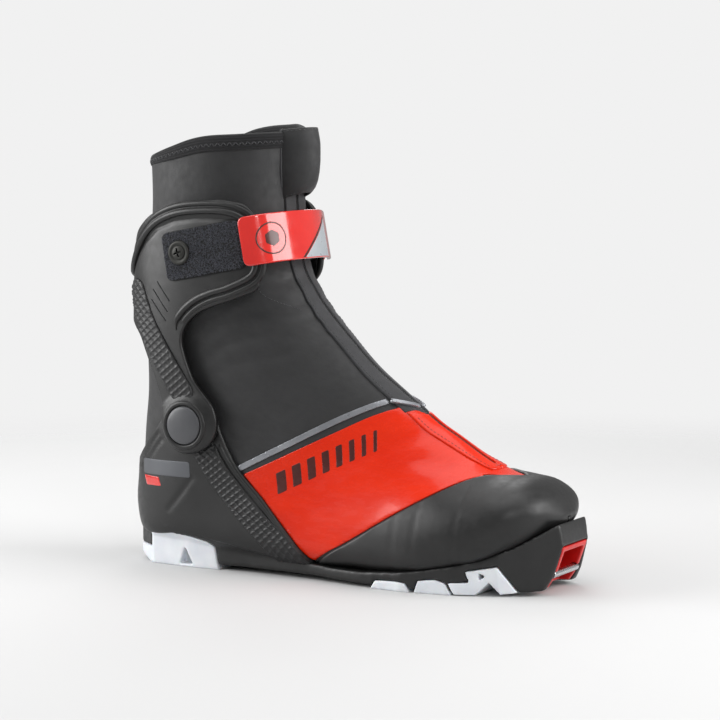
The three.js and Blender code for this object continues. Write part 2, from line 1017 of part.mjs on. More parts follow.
function addCuff() {
  const wall = cuffLayer(0, CUFF_WALL);
  const lateralWall = wall.intersect(across(CUFF_OUTLINE, -200, 1));
  let cuff = lateralWall.add(wall.intersect(across(shortened(CUFF_OUTLINE), -1, 200)));
  for (const side of [-1, 1])
    cuff = cuff
      .add(disc(PIVOT.x, PIVOT.z, side, 17, 41, 46, 24))
      .subtract(disc(PIVOT.x, PIVOT.z, side, 18, 20, 41, 24));
  for (const side of [-1, 1])
    cuff = cuff
      .subtract(disc(PIVOT.x, PIVOT.z, side, 11.2, 43.8, 60))
      .subtract(disc(PIVOT.x, PIVOT.z, side, RIVET + FIT, 20, 60, 32))
      .subtract(disc(SCREW.x, SCREW.z, side, 2.8, 20, 60, 12));
  add("cuff", cuff, blackPlastic);

  const lip = across(ribbon(LIP_PATH, LIP_WIDTH), -200, 0).add(
    across(ribbon(shortened(LIP_PATH), LIP_WIDTH), 0, 200),
  );
  const grip = across(ribbon(GRIP_PATH, 13));
  const lipLayer = cuffLayer(CUFF_WALL + GAP, CUFF_WALL + LIP).intersect(lip);
  const gripLayer = cuffLayer(CUFF_WALL + GAP, CUFF_WALL + 1.2).intersect(grip);
  for (const side of [-1, 1]) {
    const end = side < 0 ? "lateral" : "medial";
    add("cuff_lip_" + end, lipLayer.intersect(half(side)), blackPlastic);
    add(
      "arm_grip_" + end,
      gripLayer.intersect(half(side)).subtract(disc(PIVOT.x, PIVOT.z, side, 17.5, 20, 60)),
      texturedPlastic,
    );
  }
}

function addCollar() {
  const under = (drop) => [
    ...RIM.map(([x, z]) => [x, z - drop]),
    [60, 200 - drop],
    [60, -20],
    [-160, -20],
    [-160, 200 - drop],
  ];
  const region = across(sector(DISC + 0.3, FRONT_RAY, REAR_RAY));
  const shell = upperLayer(-COLLAR_WALL, 0).intersect(region);
  for (const side of [-1, 1])
    add(
      side < 0 ? "collar_lateral" : "collar_medial",
      shell.intersect(across(under(1.5))).intersect(half(side)).subtract(zipSlot),
      softshell,
    );
  const cap = upperLayer(-COLLAR_WALL - GAP - 0.9, GAP + 0.9)
    .intersect(across(under(0)))
    .subtract(across(under(8)));
  const core = upperLayer(-COLLAR_WALL - GAP, GAP).intersect(across(under(1.2)));
  add(
    "collar_binding",
    cap.subtract(core).subtract(box(-60, 40, -12.4, 12.4, 100, 400)),
    knit,
  );

  // The soft hood over the zip's top end.
  const hood = (grow) => {
    const shape = new THREE.Shape();
    shape.absellipse(-41, 0, 16.6 + grow, 11.4 + grow, 0, 2 * Math.PI);
    const geometry = new THREE.ExtrudeGeometry(shape, {
      depth: 60,
      bevelEnabled: false,
      curveSegments: 9,
    });
    geometry.translate(0, 0, 200);
    return solid(geometry);
  };
  const hoodSide = [
    [-60, 208],
    [-40, 209],
    [-27, 218],
    [-20, 229],
    [-19, 240],
    [-21, 250],
    [-60, 250],
  ];
  add(
    "front_hood",
    hood(2.2)
      .subtract(hood(0))
      .intersect(across(hoodSide))
      .subtract(upperBody(GAP))
      .subtract(upperBody(FILM + 2 * GAP).intersect(box(-60, 0, -12.7, 12.7, 150, 300)))
      .subtract(upperBody(GAP + 1.3).intersect(box(-60, 0, -60, 60, 230, 300))),
    softshell,
  );
}

// ---------------------------------------------------------------- strap

// The strap's track in plan: ahead of the strap's centre and to the medial side, from its hinge round the
// front to its lateral tip.
const STRAP_PATH = [
  [31.2, 45.2],
  [35.7, 38],
  [40.4, 29.5],
  [45.4, 19.5],
  [49.3, 9.5],
  [51, -1],
  [51, -12],
  [50, -22],
  [48, -31],
  [45, -38.5],
  [41.5, -43.2],
  [37, -46],
  [30.5, -47.4],
];
const STRAP_CURVE = new THREE.CatmullRomCurve3(STRAP_PATH.map(([x, y]) => new THREE.Vector3(x, y, 0)));

// The track from one control point to another, moved out from the leg.
function strapTrack(out, from, to) {
  const steps = Math.round((to - from) * 3);
  return Array.from({ length: steps + 1 }, (_, i) => {
    const t = (from + ((to - from) * i) / steps) / (STRAP_PATH.length - 1);
    const point = STRAP_CURVE.getPoint(t);
    const along = STRAP_CURVE.getTangent(t);
    return [point.x - along.y * out, point.y + along.x * out];
  });
}

function strapBand(low, high, from, to, zLow, zHigh) {
  const outline = [...strapTrack(low, from, to), ...strapTrack(high, from, to).reverse()];
  const geometry = new THREE.ExtrudeGeometry(toShape(outline), {
    depth: zHigh - zLow,
    bevelEnabled: false,
  });
  geometry.translate(0, 0, zLow);
  geometry.rotateY(-THREE.MathUtils.degToRad(STRAP_TILT));
  geometry.translate(STRAP_CENTRE.x, 0, STRAP_CENTRE.z);
  return solid(geometry);
}

function addStrap() {
  const screwHole = (side) => disc(SCREW.x, SCREW.z, side, 2.8, 20, 60, 12);
  add(
    "hook_patch",
    cuffLayer(CUFF_WALL + GAP, CUFF_WALL + 2.2)
      .intersect(across(plate(-22, 29, -14, 13.2)))
      .intersect(LATERAL)
      .subtract(screwHole(-1)),
    hookFabric,
  );
  const lipRoom = cuffLayer(0, CUFF_WALL + LIP + GAP).intersect(
    across(ribbon(shortened(LIP_PATH), LIP_WIDTH + 2 * GAP)),
  );
  add(
    "strap_anchor",
    cuffLayer(CUFF_WALL + GAP, CUFF_WALL + 3.8)
      .intersect(across(plate(-22, 29.7, -14, 13.6)))
      .intersect(MEDIAL)
      .subtract(lipRoom)
      .subtract(screwHole(1)),
    redPlastic,
  );
  add("strap", strapBand(0, 2, 0, 12, -13.8, 13.6), redPlastic);
  add("strap_loop_pad", strapBand(-1.4, -GAP, 9.4, 11.9, -10, 10), hookFabric);

  for (const side of [-1, 1]) {
    const end = side < 0 ? "lateral" : "medial";
    const face = side < 0 ? 46.6 : 48.4; // where the washer sits on the patch or the anchor
    add(
      "strap_washer_" + end,
      turned(SCREW.x, SCREW.z, side, [
        [2.8, face],
        [6.6, face],
        [6.2, face + 1],
        [4.2, face + 1],
        [2.8, face + 0.4],
        [2.8, face],
      ]),
      screwMetal,
    );
    const cross = box(SCREW.x - 1.8, SCREW.x + 1.8, -60, 60, SCREW.z - 0.5, SCREW.z + 0.5)
      .add(box(SCREW.x - 0.5, SCREW.x + 0.5, -60, 60, SCREW.z - 1.8, SCREW.z + 1.8))
      .subtract(box(-200, 200, -face - 0.6, face + 0.6, 0, 300));
    add(
      "strap_screw_" + end,
      turned(SCREW.x, SCREW.z, side, [
        [0, 38.9],
        [1.5, 38.9],
        [1.5, face],
        [2.4, face + 0.3],
        [3.9, face + 1.3],
        [3.4, face + 1.8],
        [0, face + 2],
      ]).subtract(cross),
      screwMetal,
    );
    add(
      "strap_nut_" + end,
      turned(SCREW.x, SCREW.z, side, [
        [1.8, 39],
        [6, 39],
        [6, 40],
        [2.5, 40],
        [2.5, 43],
        [1.8, 43],
        [1.8, 39],
      ]),
      screwMetal,
    );
  }
}

// ---------------------------------------------------------------- zip slider and pull

const PULL_PIN = { x: -30.6, z: 223.4 };

function addSlider() {
  const profile = [
    [-35, 217],
    [-34.7, 229],
    [-33.4, 230],
    [-31.6, 229],
    [-31.6, 226.2],
    [-33, 225.2],
    [-33, 221.6],
    [-31.8, 219],
    [-32, 217],
  ];
  const slider = across(profile, -3.6, 3.6);
  const eye = across(
    [
      [-32.9, 225.4],
      [-29.4, 225.4],
      [-29.4, 221.4],
      [-32.9, 221.4],
    ],
    -1,
    1,
  );
  const eyeHole = disc(PULL_PIN.x, PULL_PIN.z, 1, 0.65, -3, 3);
  add("zip_slider", slider.add(eye).subtract(eyeHole), screwMetal);

  const pull = across(
    [
      [-31.4, 224.6],
      [-29.8, 224.6],
      [-29.5, 216.8],
      [-31.1, 216.8],
    ],
    -3,
    3,
  );
  const slot = box(-40, -20, -1.35, 1.35, 220.6, 226);
  const pin = disc(PULL_PIN.x, PULL_PIN.z, 1, 0.55, -2, 2, 12);
  add("zip_pull", pull.subtract(slot).add(pin), screwMetal);
}

addSole();
addUpper();
addFlexZone();
addOverlays();
addZip();
addLacing();
addPivots();
addCuff();
addCollar();
addStrap();
addSlider();

const whole = new THREE.Box3().setFromObject(boot);
const middle = whole.getCenter(new THREE.Vector3());
boot.position.set(-middle.x, -middle.y, -whole.min.z);

export default boot;
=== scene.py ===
"""Looks of the junior skate boot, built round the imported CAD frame.

Shapes are drawn in the CAD's own design frame, in millimetres, and moved to the row frame as each mesh is
made.
"""

import math

import bpy
import numpy as np
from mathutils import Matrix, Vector
from mathutils.geometry import delaunay_2d_cdt

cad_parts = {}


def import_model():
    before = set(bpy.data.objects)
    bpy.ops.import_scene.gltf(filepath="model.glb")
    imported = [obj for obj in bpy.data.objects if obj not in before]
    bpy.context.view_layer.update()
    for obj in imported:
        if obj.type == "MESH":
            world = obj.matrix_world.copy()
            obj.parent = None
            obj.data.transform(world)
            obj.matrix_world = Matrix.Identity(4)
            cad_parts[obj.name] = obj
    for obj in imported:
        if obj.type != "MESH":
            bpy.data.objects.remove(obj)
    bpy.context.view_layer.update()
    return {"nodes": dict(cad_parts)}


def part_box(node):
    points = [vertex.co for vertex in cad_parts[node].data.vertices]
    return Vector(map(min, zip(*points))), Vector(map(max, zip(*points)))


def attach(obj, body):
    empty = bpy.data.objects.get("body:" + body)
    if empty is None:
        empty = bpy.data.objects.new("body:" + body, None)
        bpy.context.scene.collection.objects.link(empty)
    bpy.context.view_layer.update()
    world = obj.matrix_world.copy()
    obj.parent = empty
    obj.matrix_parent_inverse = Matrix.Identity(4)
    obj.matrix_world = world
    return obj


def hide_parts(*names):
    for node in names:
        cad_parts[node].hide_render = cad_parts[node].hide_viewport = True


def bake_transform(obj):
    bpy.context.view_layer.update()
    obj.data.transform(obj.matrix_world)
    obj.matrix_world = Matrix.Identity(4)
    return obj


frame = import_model()

BAR = (129.0, 0.0, 11.0)  # the toe bar's centre in the design frame
bar_low, bar_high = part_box("toe_bar")
SHIFT = np.array((bar_low + bar_high) / 2) * 1000 - np.array(BAR)

PIVOT = (-84.0, 83.0)  # the ankle hinge and the strap's screws in the side view
STRAP_SCREW = (-86, 180)
LATERAL, MEDIAL = 1, -1  # the sign of a surface's second coordinate
SIDES = ((LATERAL, "lateral"), (MEDIAL, "medial"))
STITCH = (1.7, 0.45, 0.35)  # length, width and height of a stitch
BOOTIE_WALL = 3.4
COUNTER_WALL = 2.8
CUFF_WALL = 2.6
rng = np.random.default_rng(7)

# Front x, front z, back x, back z, lateral half-width, medial half-width, middle, front power, back power.
UPPER = [
    (-35, 262, -127, 256, 37, 37, 0.5, 2.2, 2.2),
    (-36.5, 240, -126.2, 232, 37.5, 37, 0.5, 2.2, 2.2),
    (-37, 209, -125.5, 200, 38, 37.5, 0.5, 2.2, 2.2),
    (-33.5, 175, -129.5, 170, 38, 37.5, 0.5, 2.1, 2.2),
    (-24, 157, -131.3, 145, 37.5, 37, 0.52, 2, 2.3),
    (-11, 140.5, -129.5, 120, 36.5, 36, 0.55, 2, 2.4),
    (3, 126, -129.2, 98, 36, 35.5, 0.58, 2, 2.4),
    (17, 113, -132, 75, 36, 35, 0.6, 2, 2.4),
    (31, 102.5, -133.5, 52, 35.5, 34.5, 0.63, 2, 2.5),
    (44, 93.5, -133.5, 32, 35, 34, 0.65, 2, 2.7),
    (55, 85.5, -124, 14.5, 35, 33.5, 0.66, 2, 3.2),
    (64, 80, -95, 12, 35.5, 33.5, 0.66, 2, 3.8),
    (72, 75, -60, 9.5, 36.5, 34, 0.66, 2, 4),
    (79, 70.5, -20, 8, 39, 36, 0.66, 2, 4),
    (87, 66, 20, 7.5, 43, 40, 0.67, 2.1, 4),
    (96, 62, 55, 8.5, 45, 43, 0.68, 2.2, 4),
    (106, 60.2, 86, 14, 43, 43.5, 0.66, 2.3, 3.6),
    (116, 58.1, 107, 22, 37.5, 38.7, 0.6, 2.4, 3),
    (125, 52, 121, 31.5, 26.5, 28.4, 0.52, 2.4, 2.4),
    (129.8, 44, 129, 38, 10, 11, 0.5, 2, 2),
    (130.4, 41.5, 130.2, 40.5, 0.6, 0.6, 0.5, 2, 2),
]

# The cuff's inner face, in the same way.
CUFF = [
    (12, 58, -134, 58, 41, 41, 0.5, 3, 3),
    (8, 95, -133.5, 95, 41.2, 41.2, 0.5, 3, 3),
    (0, 130, -133.5, 130, 41.8, 41.8, 0.5, 2.8, 2.8),
    (-5, 152, -134, 152, 42, 42, 0.5, 2.6, 2.6),
    (-6, 175, -133.2, 172, 42, 42, 0.5, 2.6, 2.6),
    (-9, 200, -130.5, 196, 41.6, 41.6, 0.5, 2.6, 2.6),
    (-10, 222, -129, 218, 41.5, 41.5, 0.5, 2.6, 2.6),
]


# ---------------------------------------------------------------- meshes


def make(name, points, faces, material, body=None, uv=None, smooth=True):
    """A mesh object from points in the design frame."""
    mesh = bpy.data.meshes.new(name)
    points = (np.asarray(points, float).reshape(-1, 3) + SHIFT) / 1000
    mesh.from_pydata(points.tolist(), [], [list(map(int, f)) for f in faces])
    mesh.validate()
    if uv is not None:
        corner = np.zeros(len(mesh.loops), np.int32)
        mesh.loops.foreach_get("vertex_index", corner)
        layer = mesh.uv_layers.new(name="UVMap")
        layer.data.foreach_set("uv", np.asarray(uv, np.float32)[corner].ravel())
    mesh.shade_smooth() if smooth else mesh.shade_flat()
    obj = bpy.data.objects.new(name, mesh)
    bpy.context.scene.collection.objects.link(obj)
    mesh.materials.append(material)
    if body:
        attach(obj, body)
    return obj


def modified(obj, kind, **settings):
    """Adds a modifier and applies it to the mesh."""
    modifier = obj.modifiers.new(kind, kind)
    for key, value in settings.items():
        setattr(modifier, key, value)
    graph = bpy.context.evaluated_depsgraph_get()
    graph.update()
    result = bpy.data.meshes.new_from_object(obj.evaluated_get(graph))
    obj.modifiers.clear()
    old, obj.data = obj.data, result
    bpy.data.meshes.remove(old)
    return obj


def grid_faces(rows, columns, wrap=False, flip=False):
    """Quads of a grid of points stored row by row."""
    width = columns if wrap else columns - 1
    i, j = np.meshgrid(np.arange(rows - 1), np.arange(width), indexing="ij")
    k = (j + 1) % columns
    quads = np.stack([i * columns + j, i * columns + k, (i + 1) * columns + k, (i + 1) * columns + j], -1)
    quads = quads.reshape(-1, 4)
    return quads[:, ::-1] if flip else quads


def ring_faces(rows, columns):
    """Quads of a grid of points that closes on itself both ways."""
    return [tuple(k % (rows * columns) for k in q) for q in grid_faces(rows + 1, columns, wrap=True)]


def unit(v):
    return v / np.maximum(np.linalg.norm(v, axis=-1, keepdims=True), 1e-12)


def smoothstep(low, high, value):
    t = np.clip((value - low) / (high - low), 0, 1)
    return t * t * (3 - 2 * t)


def bell(value, width):
    """1 where the value is 0, falling off to either side over about that width."""
    return np.exp(-((value / width) ** 2))


def pairs(first, second):
    """Pairs of numbers, one from each, after both are spread to the same shape."""
    return np.stack(np.broadcast_arrays(first, second), -1)


def beside(line):
    """The directions square to a flat line, to its left."""
    ahead = unit(np.gradient(line, axis=0))
    return pairs(-ahead[:, 1], ahead[:, 0])


def lengths(line):
    """How far along a line each of its points is."""
    return np.r_[0, np.cumsum(np.linalg.norm(np.diff(line, axis=0), axis=1))]


def pick(at, length, line):
    """The line's points at those lengths along it."""
    return np.stack([np.interp(at, length, line[:, k]) for k in range(line.shape[1])], -1)


def catmull(a, b, c, d, t):
    """The Catmull-Rom curve from b to c at the share t."""
    return 0.5 * (2 * b + (c - a) * t + (2 * a - 5 * b + 4 * c - d) * t**2 + (3 * b - a - 3 * c + d) * t**3)


def spline(points, spacing=1.5, closed=False):
    """Catmull-Rom through the points, sampled about every spacing."""
    p = np.array(points, float)
    n = len(p)
    out = []
    for i in range(n if closed else n - 1):
        if closed:
            a, b, c, d = p[(i - 1) % n], p[i], p[(i + 1) % n], p[(i + 2) % n]
        else:
            b, c = p[i], p[i + 1]
            a = p[i - 1] if i else 2 * b - c
            d = p[i + 2] if i + 2 < n else 2 * c - b
        count = max(1, round(np.linalg.norm(c - b) / spacing))
        out += [catmull(a, b, c, d, t) for t in np.arange(count) / count]
    if not closed:
        out.append(p[-1])
    return np.array(out)


def straight(points, spacing=1.5, closed=False):
    """The polyline through the points, sampled about every spacing."""
    p = np.array(points, float)
    if closed:
        p = np.vstack([p, p[:1]])
    out = []
    for b, c in zip(p[:-1], p[1:]):
        count = max(1, round(np.linalg.norm(c - b) / spacing))
        out += [b + (c - b) * t for t in np.arange(count) / count]
    if not closed:
        out.append(p[-1])
    return np.array(out)


def rounded(points, radius, spacing=1.0):
    """A closed polygon whose corners are rounded by an arc-like curve of about that radius."""
    p = np.array(points, float)
    out = []
    for i in range(len(p)):
        a, b, c = p[i - 1], p[i], p[(i + 1) % len(p)]
        before, after = np.linalg.norm(b - a), np.linalg.norm(c - b)
        cut = min(radius, 0.45 * before, 0.45 * after)
        start, stop = b + (a - b) * cut / before, b + (c - b) * cut / after
        for t in np.linspace(0, 1, 6):
            out.append((1 - t) ** 2 * start + 2 * t * (1 - t) * b + t * t * stop)
    return straight(out, spacing, closed=True)


# ---------------------------------------------------------------- ringed surfaces


class Surface:
    """A ringed surface, addressed by u, counted in stations, and w: 0 at the front of a ring, 1 at its back
    by the lateral side and -1 by the medial side. w runs on past 1 on to the medial side."""

    def __init__(self, stations, per_station=16, around=384):
        s = np.array(stations, float)
        n = len(s)
        self.u = np.linspace(0, n - 1, (n - 1) * per_station + 1)
        self.w = np.linspace(-1, 1, around + 1)
        i = np.minimum(self.u.astype(int), n - 2)
        t = (self.u - i)[:, None]
        a, b, c, d = (s[np.clip(i + k, 0, n - 1)] for k in (-1, 0, 1, 2))
        rows = catmull(a, b, c, d, t)
        v = np.linspace(0, np.pi, 1441)
        cos, sin = np.cos(v), np.sin(v)
        points = np.zeros((len(self.u), around + 1, 3))
        for k, (fx, fz, bx, bz, lateral, medial, middle, front, back) in enumerate(rows):
            power = 2 / np.where(cos > 0, front, back)
            reach = np.abs(cos) ** power
            along = np.where(cos > 0, middle * (1 - reach), middle + (1 - middle) * reach)
            for side, half in ((1, lateral), (-1, medial)):
                ring = [fx + (bx - fx) * along, -side * half * sin**power, fz + (bz - fz) * along]
                ring = np.stack(ring, -1)
                length = lengths(ring)
                mine = self.w >= 0 if side > 0 else self.w <= 0
                points[k, mine] = pick(np.abs(self.w[mine]), length / length[-1], ring)
        self.points = points
        self.refresh()

    def refresh(self):
        """Works the normals out again."""
        du = np.gradient(self.points, axis=0)
        closed = np.concatenate([self.points[:, -2:-1], self.points, self.points[:, 1:2]], 1)
        dw = (closed[:, 2:] - closed[:, :-2]) / 2
        normal = unit(np.cross(du, dw))
        centre = self.points.mean(1, keepdims=True)
        if ((self.points - centre) * normal).sum() < 0:
            normal = -normal
        self.normal = normal

    def sculpt(self, height):
        """Moves the surface along its normals by height(points)."""
        self.points = self.points + self.normal * height(self.points)[..., None]
        self.refresh()

    def lookup(self, table, place):
        """The table's values at places, between its grid points."""
        u, w = place[..., 0], place[..., 1]
        w = (w + 1) % 2
        fu = np.clip(u, 0, self.u[-1]) / self.u[1]
        fw = w / 2 * (len(self.w) - 1)
        iu = np.minimum(fu.astype(int), len(self.u) - 2)
        iw = np.minimum(fw.astype(int), len(self.w) - 2)
        tu, tw = (fu - iu)[..., None], (fw - iw)[..., None]
        top = table[iu, iw] * (1 - tw) + table[iu, iw + 1] * tw
        low = table[iu + 1, iw] * (1 - tw) + table[iu + 1, iw + 1] * tw
        return top * (1 - tu) + low * tu

    def at(self, place, height=0.0):
        """Points at places (n, 2), moved outward by height."""
        place = np.asarray(place, float)
        height = np.asarray(height, float)
        lift = height[..., None] if height.ndim else height
        return self.lookup(self.points, place) + self.out(place) * lift

    def out(self, place):
        """The outward directions at places."""
        return unit(self.lookup(self.normal, np.asarray(place, float)))

    def slopes(self, place):
        """How the point moves with each coordinate of its place."""
        e, f = np.array([0.02, 0]), np.array([0, 0.002])
        return (
            (self.at(place + e) - self.at(place - e)) / 0.04,
            (self.at(place + f) - self.at(place - f)) / 0.004,
        )

    def pace(self, place, direction):
        """The change of place that moves the point by that direction within the surface."""
        du, dw = self.slopes(place)
        e, f, g = (du * du).sum(1), (du * dw).sum(1), (dw * dw).sum(1)
        a, b = (direction * du).sum(1), (direction * dw).sum(1)
        det = np.maximum(e * g - f * f, 1e-6)
        return np.stack([(a * g - b * f) / det, (b * e - a * f) / det], -1)

    def find(self, line, side):
        """The places where the side view's points (x, z) lie on one side of the surface."""
        line = np.asarray(line, float)
        mine = np.nonzero(self.w * side >= 0)[0][::3]
        rows = np.arange(0, len(self.u), 2)
        table = self.points[np.ix_(rows, mine)][..., [0, 2]]
        place = np.zeros((len(line), 2))
        for k, target in enumerate(line):
            gap = ((table - target) ** 2).sum(-1)
            a, b = np.unravel_index(gap.argmin(), gap.shape)
            place[k] = self.u[rows[a]], self.w[mine[b]]
        for _ in range(6):
            du, dw = self.slopes(place)
            off = line - self.at(place)[:, [0, 2]]
            j = np.stack([du[:, [0, 2]], dw[:, [0, 2]]], -1)
            square = j.transpose(0, 2, 1) @ j + np.diag([0.5, 2.0])
            step = np.linalg.solve(square, (j.transpose(0, 2, 1) @ off[..., None]))[..., 0]
            place = place + np.clip(step, [-0.3, -0.03], [0.3, 0.03])
            place[:, 1] = side * np.clip(place[:, 1] * side, 0, 1)
        return place


class Sheet(Surface):
    """A grid of points, its rows counted by u and its columns running from -1 to 1."""

    def __init__(self, points, outward):
        self.u = np.arange(float(len(points)))
        self.w = np.linspace(-1, 1, points.shape[1])
        self.points = points
        du, dw = np.gradient(points, axis=0), np.gradient(points, axis=1)
        self.normal = unit(np.cross(dw, du))
        if (self.normal * np.asarray(outward)).sum() < 0:
            self.normal = -self.normal


def past_back(place):
    """Medial places written past w = 1, so that an outline can cross the back of a ring."""
    return np.where([False, True] * (place[:, 1:2] < 0), place + 2, place)


def inside(polygon, points):
    """Which points lie inside the closed polygon."""
    a, b = polygon, np.roll(polygon, -1, 0)
    x, y = points[:, :1], points[:, 1:]
    crosses = (a[:, 1] > y) != (b[:, 1] > y)
    rise = np.where(b[:, 1] == a[:, 1], 1e-9, b[:, 1] - a[:, 1])
    run = a[:, 0] + (y - a[:, 1]) * (b[:, 0] - a[:, 0]) / rise
    return (crosses & (x < run)).sum(1) % 2 == 1


def gap_to(loop, points, closed=True):
    """Distance of each point from a line."""
    a = loop if closed else loop[:-1]
    b = np.roll(loop, -1, 0) if closed else loop[1:]
    run = b - a
    best = np.full(len(points), 1e9)
    chunk = 2000  # points at a time, to keep the arrays small
    for i in range(0, len(points), chunk):
        p = points[i : i + chunk, None]
        t = np.clip(((p - a) * run).sum(-1) / np.maximum((run**2).sum(-1), 1e-12), 0, 1)
        best[i : i + chunk] = np.linalg.norm(a + run * t[..., None] - p, axis=-1).min(1)
    return best


def patch(
    name, surface, outline, height, material, body,
    step=2.0, edge=0.5, base=0.0, closed=False, relief=None, sink=0.3,
):  # fmt: skip
    """A layer of that height on a surface, inside a closed outline of places, with a rounded edge. It starts
    base above the surface. relief(points) adds to its height away from the edge. A closed one has an
    underside, and any other one reaches down by sink at its edge. step is the size of its triangles."""
    loop = np.asarray(outline, float)
    keep = np.linalg.norm(np.diff(surface.at(loop), axis=0, append=surface.at(loop[:1])), axis=1) > 0.05
    loop = loop[keep]
    area = (loop[:, 0] * np.roll(loop[:, 1], -1) - np.roll(loop[:, 0], -1) * loop[:, 1]).sum()
    if area < 0:
        loop = loop[::-1]
    loop3, normal = surface.at(loop), surface.out(loop)
    du, dw = surface.slopes(loop)
    flipped = (np.cross(du, dw) * normal).sum() < 0
    scale = np.array([np.linalg.norm(du, axis=1).mean(), np.linalg.norm(dw, axis=1).mean()])
    tangent = unit(np.roll(loop3, -1, 0) - np.roll(loop3, 1, 0))
    delta = surface.pace(loop, unit(np.cross(normal, tangent)) * (-1 if flipped else 1))
    extra = []
    for d in edge * np.array([0.12, 0.4, 0.75, 1.1]):
        ring = loop + delta * d
        near = gap_to(loop3, surface.at(ring))
        extra.append(ring[(near > 0.85 * d) & inside(loop, ring)])
    low, high = loop.min(0), loop.max(0)
    counts = np.maximum(((high - low) * scale / step).astype(int), 1)
    axes = (np.linspace(low[k], high[k], counts[k] + 1) for k in (0, 1))
    lattice = np.stack(np.meshgrid(*axes, indexing="ij"), -1).reshape(-1, 2)
    lattice = lattice[inside(loop, lattice)]
    if len(lattice):
        lattice = lattice[gap_to(loop3, surface.at(lattice)) > edge * 1.1 + 0.45 * step]
    every = np.vstack([loop, *extra, lattice])
    flat = [Vector(p) for p in (every * scale).tolist()]
    points, _, faces, origin, _, _ = delaunay_2d_cdt(flat, [], [list(range(len(loop)))], 1, 1e-4)
    place = np.array([tuple(p) for p in points]) / scale
    new = {}
    for k, names in enumerate(origin):
        for m in names:
            new[m] = k
    rim = [new[k] for k in range(len(loop)) if k in new]
    rim = [k for i, k in enumerate(rim) if k != rim[i - 1]]
    ground = surface.at(place)
    away = gap_to(loop3, ground)
    away[rim] = 0
    t = 1 - np.clip(away / edge, 0, 1)
    rounding = np.sqrt(np.maximum(1 - t * t, 0))
    lift = height - edge * (1 - rounding) if edge < height else height * rounding
    if relief is not None:
        lift = lift + relief(ground) * smoothstep(0, edge + 0.6, away)
    top = surface.at(place, base + lift)
    foot = surface.at(place[rim], base - (0 if closed else sink))
    n, m = len(place), len(rim)
    sides = [(n + i, n + (i + 1) % m, rim[(i + 1) % m], rim[i]) for i in range(m)]
    tris = [tuple(x) for x in faces]
    meshes = [*tris, *sides]
    verts, uv = [top, foot], [place * scale / 10, place[rim] * scale / 10]
    if closed:
        within = np.ones(n, bool)
        within[rim] = False
        under = np.full(n, -1)
        under[within] = n + m + np.arange(within.sum())
        for i, k in enumerate(rim):
            under[k] = n + i
        verts.append(surface.at(place[within], base))
        uv.append(place[within] * scale / 10)
        meshes += [tuple(under[list(x)][::-1]) for x in tris]
    if flipped:
        meshes = [x[::-1] for x in meshes]
    return make(name, np.vstack(verts), meshes, material, body, np.vstack(uv))


def sweep(name, line, up, profile, material, body, closed=False, scale=None):
    """A profile of (across, up) points carried along a line. up holds the directions out of the surface."""
    line, up = np.asarray(line, float), unit(np.asarray(up, float))
    if closed:
        tangent = unit(np.roll(line, -1, 0) - np.roll(line, 1, 0))
    else:
        tangent = unit(np.gradient(line, axis=0))
    across = unit(np.cross(tangent, up))
    scale = np.ones(len(line)) if scale is None else np.asarray(scale, float)
    profile = np.asarray(profile, float)
    rows = line[:, None] + scale[:, None, None] * (
        across[:, None] * profile[None, :, :1] + up[:, None] * profile[None, :, 1:]
    )
    n, m = len(line), len(profile)
    if closed:
        faces = ring_faces(n, m)
    else:
        faces = [*grid_faces(n, m, wrap=True), range(m)[::-1], range((n - 1) * m, n * m)]
    obj = make(name, rows, faces, material)
    flip_outward(obj)
    if body:
        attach(obj, body)
    return obj


def flip_outward(obj):
    """Turns the faces of a closed mesh to face out."""
    mesh = obj.data
    mesh.calc_loop_triangles()
    co = np.array([v.co for v in mesh.vertices])
    tri = np.array([t.vertices for t in mesh.loop_triangles])
    a, b, c = co[tri[:, 0]], co[tri[:, 1]], co[tri[:, 2]]
    if (a * np.cross(b, c)).sum() < 0:
        mesh.flip_normals()


def circle(radius, count=12, flat=1.0):
    """A round profile, squashed by flat."""
    angle = np.arange(count) * 2 * np.pi / count
    return pairs(radius * np.cos(angle), radius * flat * np.sin(angle))


def beads(name, centres, along, up, size, material, body, lean=None):
    """One flattened bead at each centre, of that size (length, width, height), turned about up by lean."""
    ring, rows = 6, 5
    angles = [(t, p) for t in np.linspace(0, np.pi, rows) for p in np.arange(ring) * 2 * np.pi / ring]
    bead = [(math.cos(t), math.sin(t) * math.cos(p), math.sin(t) * math.sin(p)) for t, p in angles]
    bead = np.array(bead) * np.array(size) / 2
    faces = grid_faces(rows, ring, wrap=True, flip=True)
    t, u = unit(along), unit(up)
    side = unit(np.cross(u, t))
    if lean is not None:
        c, s = np.cos(lean)[:, None], np.sin(lean)[:, None]
        t, side = t * c + side * s, side * c - t * s
    points = (
        centres[:, None]
        + t[:, None] * bead[None, :, :1]
        + side[:, None] * bead[None, :, 1:2]
        + u[:, None] * bead[None, :, 2:]
    )
    every = (faces[None] + np.arange(len(centres))[:, None, None] * len(bead)).reshape(-1, 4)
    return make(name, points, every, material, body)


def stitched(name, surface, path, height, material, body, pitch, size=STITCH):
    """A row of stitches along a line of places on a surface."""
    length = lengths(surface.at(path, height))
    at = np.arange(pitch / 2, length[-1], pitch)
    place = pick(at, length, path)
    ahead, behind = (surface.at(pick(at + step, length, path), height) for step in (0.4, -0.4))
    return beads(name, surface.at(place, height), ahead - behind, surface.out(place), size, material, body)


def turned(name, centre, axis, profile, material, body, segments=64):
    """A round piece about an axis (+1 or -1 along Y): profile is (radius, distance out)."""
    angle = np.arange(segments) * 2 * np.pi / segments
    points = [
        (centre[0] + r * math.cos(t), axis * y, centre[1] + r * math.sin(t))
        for r, y in profile
        for t in angle
    ]
    faces = grid_faces(len(profile), segments, wrap=True)
    obj = make(name, points, faces, material)
    flip_outward(obj)
    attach(obj, body)
    return obj


# ---------------------------------------------------------------- finishes


